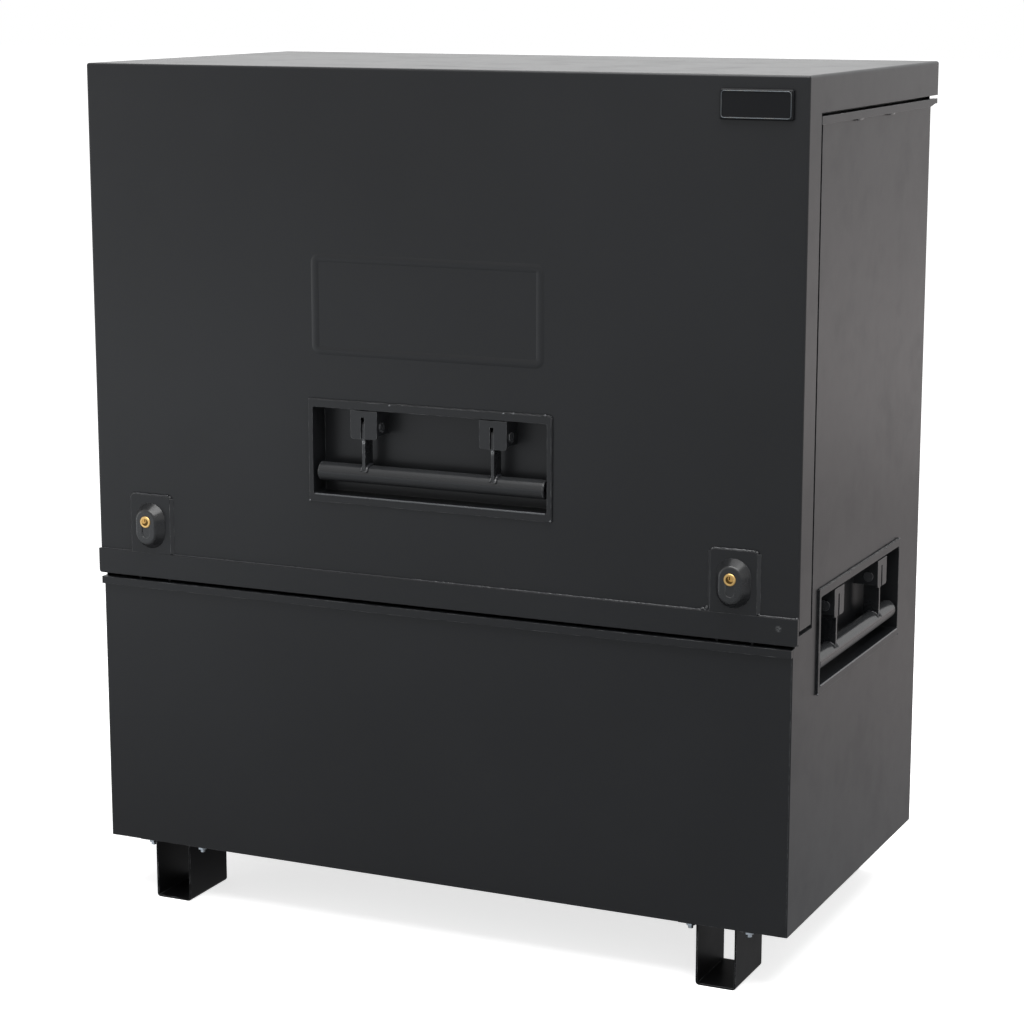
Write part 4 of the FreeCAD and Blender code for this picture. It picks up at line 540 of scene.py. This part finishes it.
# Bolts
# Zinc-plated steel hexagon bolts and nuts that hold the feet. They go in after the coating and are
# left bare.
def metal(
    name, shade, rough, grain=(1, 1, 1), scratch=260.0, tarnish="#6f6a60", stain=0.35, ring=None
):
    """Plain or plated metal: a brushed grain, cloudy tarnish in 11 mm patches, and grime in a ring
    if one is named. Real brush marks are about 0.1 mm apart, too fine to show, so the grain is
    drawn 2 to 4 mm apart."""
    plate, place = new_material(name)
    stretched = add(plate, "Mapping", Vector=place, Scale=grain)
    brush = add(plate, "TexNoise", Vector=stretched, Scale=scratch, Detail=5.0, Roughness=0.6)
    cloud = add(plate, "TexNoise", Vector=place, Scale=90.0, Detail=4.0)
    dull = add(plate, "MapRange", Value=cloud, From_Min=0.45, From_Max=0.75, To_Max=stain)
    if ring:
        # left and right are folded together, so that one ring serves both sides
        middle, radius = ring
        mirrored = add(plate, "VectorMath", operation="ABSOLUTE", i0=place)
        offset = add(plate, "VectorMath", operation="SUBTRACT", i0=mirrored, i1=middle)
        flat = add(plate, "VectorMath", operation="MULTIPLY", i0=offset, i1=(1, 0, 1))
        reach = add(plate, "VectorMath", operation="LENGTH", i0=flat).outputs["Value"]
        inner, outer = radius * 0.8, radius * 0.95
        grime = add(plate, "MapRange", Value=reach, From_Min=inner, From_Max=outer, To_Max=0.9)
        dull = add(plate, "Math", operation="MAXIMUM", i0=dull, i1=grime)
    colour = add(plate, "MixRGB", Fac=dull, Color1=linear(shade), Color2=linear(tarnish))
    gloss = add(plate, "MapRange", Value=brush, To_Min=rough - 0.1, To_Max=rough + 0.12)
    worn = add(plate, "Bevel", samples=4, Radius=0.0004)
    skin = add(plate, "Bump", Distance=0.00003, Height=brush, Normal=worn)
    shader = add(
        plate, "BsdfPrincipled", Base_Color=colour, Metallic=1.0, Roughness=gloss, Normal=skin
    )
    add(plate, "OutputMaterial", Surface=shader)
    return plate


# Bright zinc: a pale bluish metal that blurs what it mirrors, with duller clouds.
zinc = metal("bright zinc plating", "#c9d2da", 0.34)
give(zinc, "foot_bolts")


# Locks
# A welded steel plate with a domed cast escutcheon, and in it a brass cylinder with its turning
# plug. The case and bolt behind it are zinc-plated steel, as the struts' brackets are.

# Satin powder coat on a thin plate: as on the lid, with a faint pale line along its cut edge.
plate_paint = powder_coat("satin powder coat on the lock plates", "#161719", wear=0.55)
give(plate_paint, "lock_plates")

# Powder coat on a smooth casting: the dome has a tighter and brighter highlight than the sheet.
lock_coat = powder_coat(
    "smooth powder coat on the lock castings", "#161719", rough=0.27, gloss=0.54, wear=0.7
)
give(lock_coat, "escutcheon_left", "escutcheon_right")

# Turned brass: a warm yellow metal with a soft bright rim.
brass = metal(
    "turned brass of the lock cylinders", "#d9b374", 0.3, scratch=500.0, tarnish="#a8803c"
)
give(brass, "lock_cylinder_left", "lock_cylinder_right")

# Worn brass: darker than the cylinder, with brown grime in the gap round the plug.
low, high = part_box("lock_plug_right")
plug_ring = (Vector(((low.x + high.x) / 2, 0, (low.z + high.z) / 2)), 0.006)
plug_brass = metal(
    "worn brass of the lock plugs",
    "#c79d5c",
    0.36,
    scratch=500.0,
    tarnish="#3a2a12",
    stain=0.7,
    ring=plug_ring,
)
give(plug_brass, "lock_plug_left", "lock_plug_right")

# Zinc-plated steel: a plain grey metal, blurred and dull in patches.
lock_steel = metal("zinc-plated lock steel", "#b3b3ad", 0.38)
give(lock_steel, "lock_cases", "dead_bolt_left", "dead_bolt_right")
give(lock_steel, "strut_mounts_body", "strut_mounts_lid")

# Each plate has a lumpy bead along its top and a four-sided fillet down both sides, with a lump at
# each upper corner.
PLATE_WIDE = 0.074
low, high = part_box("lock_plates")
bead_y = high.y - 0.0014
plate_welds = []
fillets = []
for sign in (-1, 1):
    left, right = sorted((sign * (high.x - PLATE_WIDE), sign * high.x))
    bead_start, bead_end = (left + 0.004, bead_y, high.z), (right - 0.004, bead_y, high.z)
    plate_welds.append(weld_bead(bead_start, bead_end, radius=0.0022, depth=0.0026))
    for edge_x, hand in ((left, 1), (right, -1)):
        bottom, top = (edge_x, high.y, low.z + 0.001), (edge_x, high.y, high.z - 0.004)
        fillets.append(weld_bead(bottom, top, radius=0.0048, depth=0.0006, sides=4))
        corner = (edge_x + hand * 0.0022, high.y - 0.0005, high.z - 0.0025)
        fillets.append(weld_lump(corner, (0.0036, 0.0034, 0.0036)))
finish(join(plate_welds, "lock_plate_top_welds"), weld_coat, "lid")

# Powder coat run thick into a corner: smooth, and a shade lighter than the plate as a painted
# highlight, a soft thin shine down each side of the plate.
lit_fillet_coat = powder_coat(
    "powder coat run into the lock plate fillets", "#1f2022", gloss=0.46, wear=0.9
)
finish(join(fillets, "lock_plate_side_welds"), lit_fillet_coat, "lid")
bpy.ops.object.shade_smooth_by_angle(angle=math.radians(40))


# Name plate
# A small die-cast plate with bevelled flanks and a blank black field, stuck to the lid's top right
# corner. A thin bright line stands round its field.

# Black enamel: darker and flatter than the lid, with hardly a reflection.
badge_coat = powder_coat(
    "black enamel of the name plate", "#121315", rough=0.45, gloss=0.12, wear=0.2
)
give(badge_coat, "name_plate")

LINE_HALF = 0.0006
LINE_RISE = 0.0004
LINE_INSET = 0.0023
low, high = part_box("name_plate")
line = raised_frame(
    middle=Vector(((low.x + high.x) / 2, low.y + 0.0001, (low.z + high.z) / 2)),
    wide=high.x - low.x - 2 * LINE_INSET,
    tall=high.z - low.z - 2 * LINE_INSET,
    corner=0.005,
    rounds=6,
    half=LINE_HALF,
    rise=LINE_RISE,
    steps=6,
)

# Bare die casting: a thin line of dull grey metal.
line_metal = metal("dull die-cast rim line", "#5d6266", 0.42, stain=0.5)
finish(join([line], "name_plate_line"), line_metal, "lid")


# Feet
# Short lengths of steel channel with flanges, folded from 3 mm plate and bolted to the floor
# through their flanges. They have a near-black coat.

# Dull black powder coat: dark shapes without sheen, with only the cut edges rubbed grey.
foot_coat = powder_coat("black powder coat on the feet", "#09090a", rough=0.4, gloss=0.1, wear=1.0)
give(foot_coat, "foot_front_left", "foot_front_right", "foot_rear_left", "foot_rear_right")


# Hinge and gas struts
# A continuous rolled steel hinge welded along the rear and coated with the body. Inside, two gas
# struts of black enamelled steel tube with hard chromed rods turn on brackets.

# Powder coat on rolled steel: as on the body, with the knuckles' ends rubbed pale.
hinge_coat = powder_coat("powder coat on the hinge", "#19191b", rough=0.34, wear=1.0)
give(hinge_coat, "hinge_body_leaf", "hinge_lid_leaf", "hinge_pin")

# Smooth black enamel: a narrow highlight runs down the cylinder.
strut_coat = powder_coat(
    "black enamel on the struts", "#141416", rough=0.25, gloss=0.5, wear=0.3
)
give(strut_coat, "strut_cylinder_left", "strut_cylinder_right")

# Hard chrome, ground round the rod: a bright clear mirror, drawn thin along it.
chrome = metal("hard chrome", "#d5d8db", 0.16, grain=(1, 1, 8), stain=0.1)
give(chrome, "strut_rod_left", "strut_rod_right")


# Studio
# A white paper floor that fades into a white surround, with soft lamps overhead, to the left and
# far behind.
bpy.ops.object.select_all(action="DESELECT")
bpy.ops.mesh.primitive_plane_add(size=80, location=(0, 0, 0))
floor = bpy.context.object
floor.name = "studio_floor"

# Matt paper: plain white with a soft shadow. Glossy coats show it as a pale glow, set below: a
# painted reflection with painted shadow and painted light in it.
paper, place = new_material("white studio paper")
ray = add(paper, "LightPath").outputs
matt = add(paper, "BsdfDiffuse", Color=(0.8, 0.8, 0.8, 1))
lift = add(paper, "Emission", Color=(1, 1, 1, 1), Strength=0.72)
seen = add(paper, "AddShader", i0=matt, i1=lift)

# The glow by distance, with a painted shadow: nearly dark under the vault, dim close to it, full
# at 5 m and less far away.
away = add(paper, "VectorMath", operation="LENGTH", i0=place).outputs["Value"]
painted_glow_level = add(paper, "MapRange", Value=away, From_Min=0.8, From_Max=4.8, To_Min=0.52, To_Max=1.0)
painted_shadow_under = add(paper, "MapRange", Value=away, From_Min=0.3, From_Max=0.62, To_Min=0.12, To_Max=1.0)
far = add(paper, "MapRange", Value=away, From_Min=5.0, From_Max=18.0, To_Min=1.0, To_Max=0.74)
painted_glow_level = add(paper, "Math", operation="MULTIPLY", i0=painted_glow_level, i1=painted_shadow_under)
painted_glow_level = add(paper, "Math", operation="MULTIPLY", i0=painted_glow_level, i1=far)

# In front it is brighter on the left, up to 6 m out, than on the right: a painted pool of light.
across = add(paper, "SeparateXYZ", Vector=place).outputs
slant = add(paper, "Math", operation="MULTIPLY_ADD", i0=across["Y"], i1=-0.5, i2=across["X"])
painted_light_pool = add(paper, "MapRange", Value=away, From_Min=3.0, From_Max=5.5, To_Min=1.4, To_Max=2.3)
left = add(paper, "MapRange", Value=away, From_Min=6.0, From_Max=11.0, To_Min=painted_light_pool, To_Max=0.62)
right = add(paper, "MapRange", Value=away, From_Min=7.0, From_Max=16.0, To_Min=0.73, To_Max=1.0)
front = add(
    paper, "MapRange", Value=slant, From_Min=-0.9, From_Max=1.1, To_Min=left, To_Max=right
)

# Behind, it changes with the distance back: the ramp is 20 m long and its greys are half strength.
depth = add(paper, "Math", operation="MULTIPLY", i0=across["Y"], i1=0.05)
steps = add(paper, "ValToRGB", Fac=depth)
ramp = steps.color_ramp.elements
ramp[0].position, ramp[1].position = 0.05, 0.85
for stop in (0.11, 0.16, 0.28):
    ramp.new(stop)
for stop, share in zip(ramp, (0.5, 0.49, 0.31, 0.55, 0.48)):
    stop.color = (share, share, share, 1)
rear = add(paper, "Math", operation="MULTIPLY", i0=steps, i1=2.0)
gain = add(
    paper, "MapRange", Value=across["Y"], From_Min=-0.3, From_Max=0.6, To_Min=front, To_Max=rear
)
painted_glow_level = add(paper, "Math", operation="MULTIPLY", i0=painted_glow_level, i1=gain)

# It is a little bluer in front and warmer behind.
cast = add(paper, "MapRange", Value=across["Y"], From_Min=-1.0, From_Max=1.5)
hue = add(paper, "MixRGB", Fac=cast, Color1=(0.95, 0.99, 1.03, 1), Color2=(1.04, 0.98, 0.975, 1))
painted_reflection_glow = add(paper, "Emission", Color=hue, Strength=painted_glow_level)
plain = add(paper, "MixShader", i0=ray["Is Camera Ray"], i1=matt, i2=seen)
mixed = add(paper, "MixShader", i0=ray["Is Glossy Ray"], i1=plain, i2=painted_reflection_glow)
add(paper, "OutputMaterial", Surface=mixed)
floor.data.materials.append(paper)

# The surround lights the object at 0.6, and is plain white where it is seen, mirrored or seen
# through.
world = bpy.data.worlds.new("white surround")
bpy.context.scene.world = world
world.use_nodes = True
world.node_tree.nodes.clear()
ray = add(world, "LightPath").outputs
seen = add(world, "Math", operation="MAXIMUM", i0=ray["Is Camera Ray"], i1=ray["Is Glossy Ray"])
seen = add(world, "Math", operation="MAXIMUM", i0=seen, i1=ray["Is Transmission Ray"])
level = add(world, "MapRange", Value=seen, To_Min=0.6, To_Max=1.0)
sky = add(world, "Background", Color=(1, 1, 1, 1), Strength=level)
add(world, "OutputWorld", Surface=sky)


def lamp(name, place, target, size, power):
    """A square soft lamp of this size in metres and power in watts, turned to a target."""
    bpy.ops.object.light_add(type="AREA", location=place)
    light = bpy.context.object
    light.name = name
    light.rotation_euler = (Vector(target) - Vector(place)).to_track_quat("-Z", "Y").to_euler()
    light.data.size = size
    light.data.energy = power


lamp("overhead", place=(0.9, -0.9, 3.6), target=(0.9, -0.7, 0), size=3.6, power=190)
lamp("left", place=(-4.2, -2.9, 0.95), target=(0, -0.3, 0.8), size=1.8, power=17)
lamp("rear", place=(-2.6, 5.6, 2.4), target=(0, 0, 1.4), size=3.0, power=9)

# The camera that the straight edges fit: it looks down a little, from right of the vault's front.
DOWN, ROUND = 11.44, 24.71
bpy.ops.object.camera_add(location=(1.853, -4.0328, 1.548))
camera = bpy.context.object
camera.rotation_euler = Euler((math.radians(90 - DOWN), 0, math.radians(ROUND)))
camera.data.lens = 95.27
camera.data.sensor_width = 36
bpy.context.scene.camera = camera
bpy.context.scene.view_settings.view_transform = "Standard"
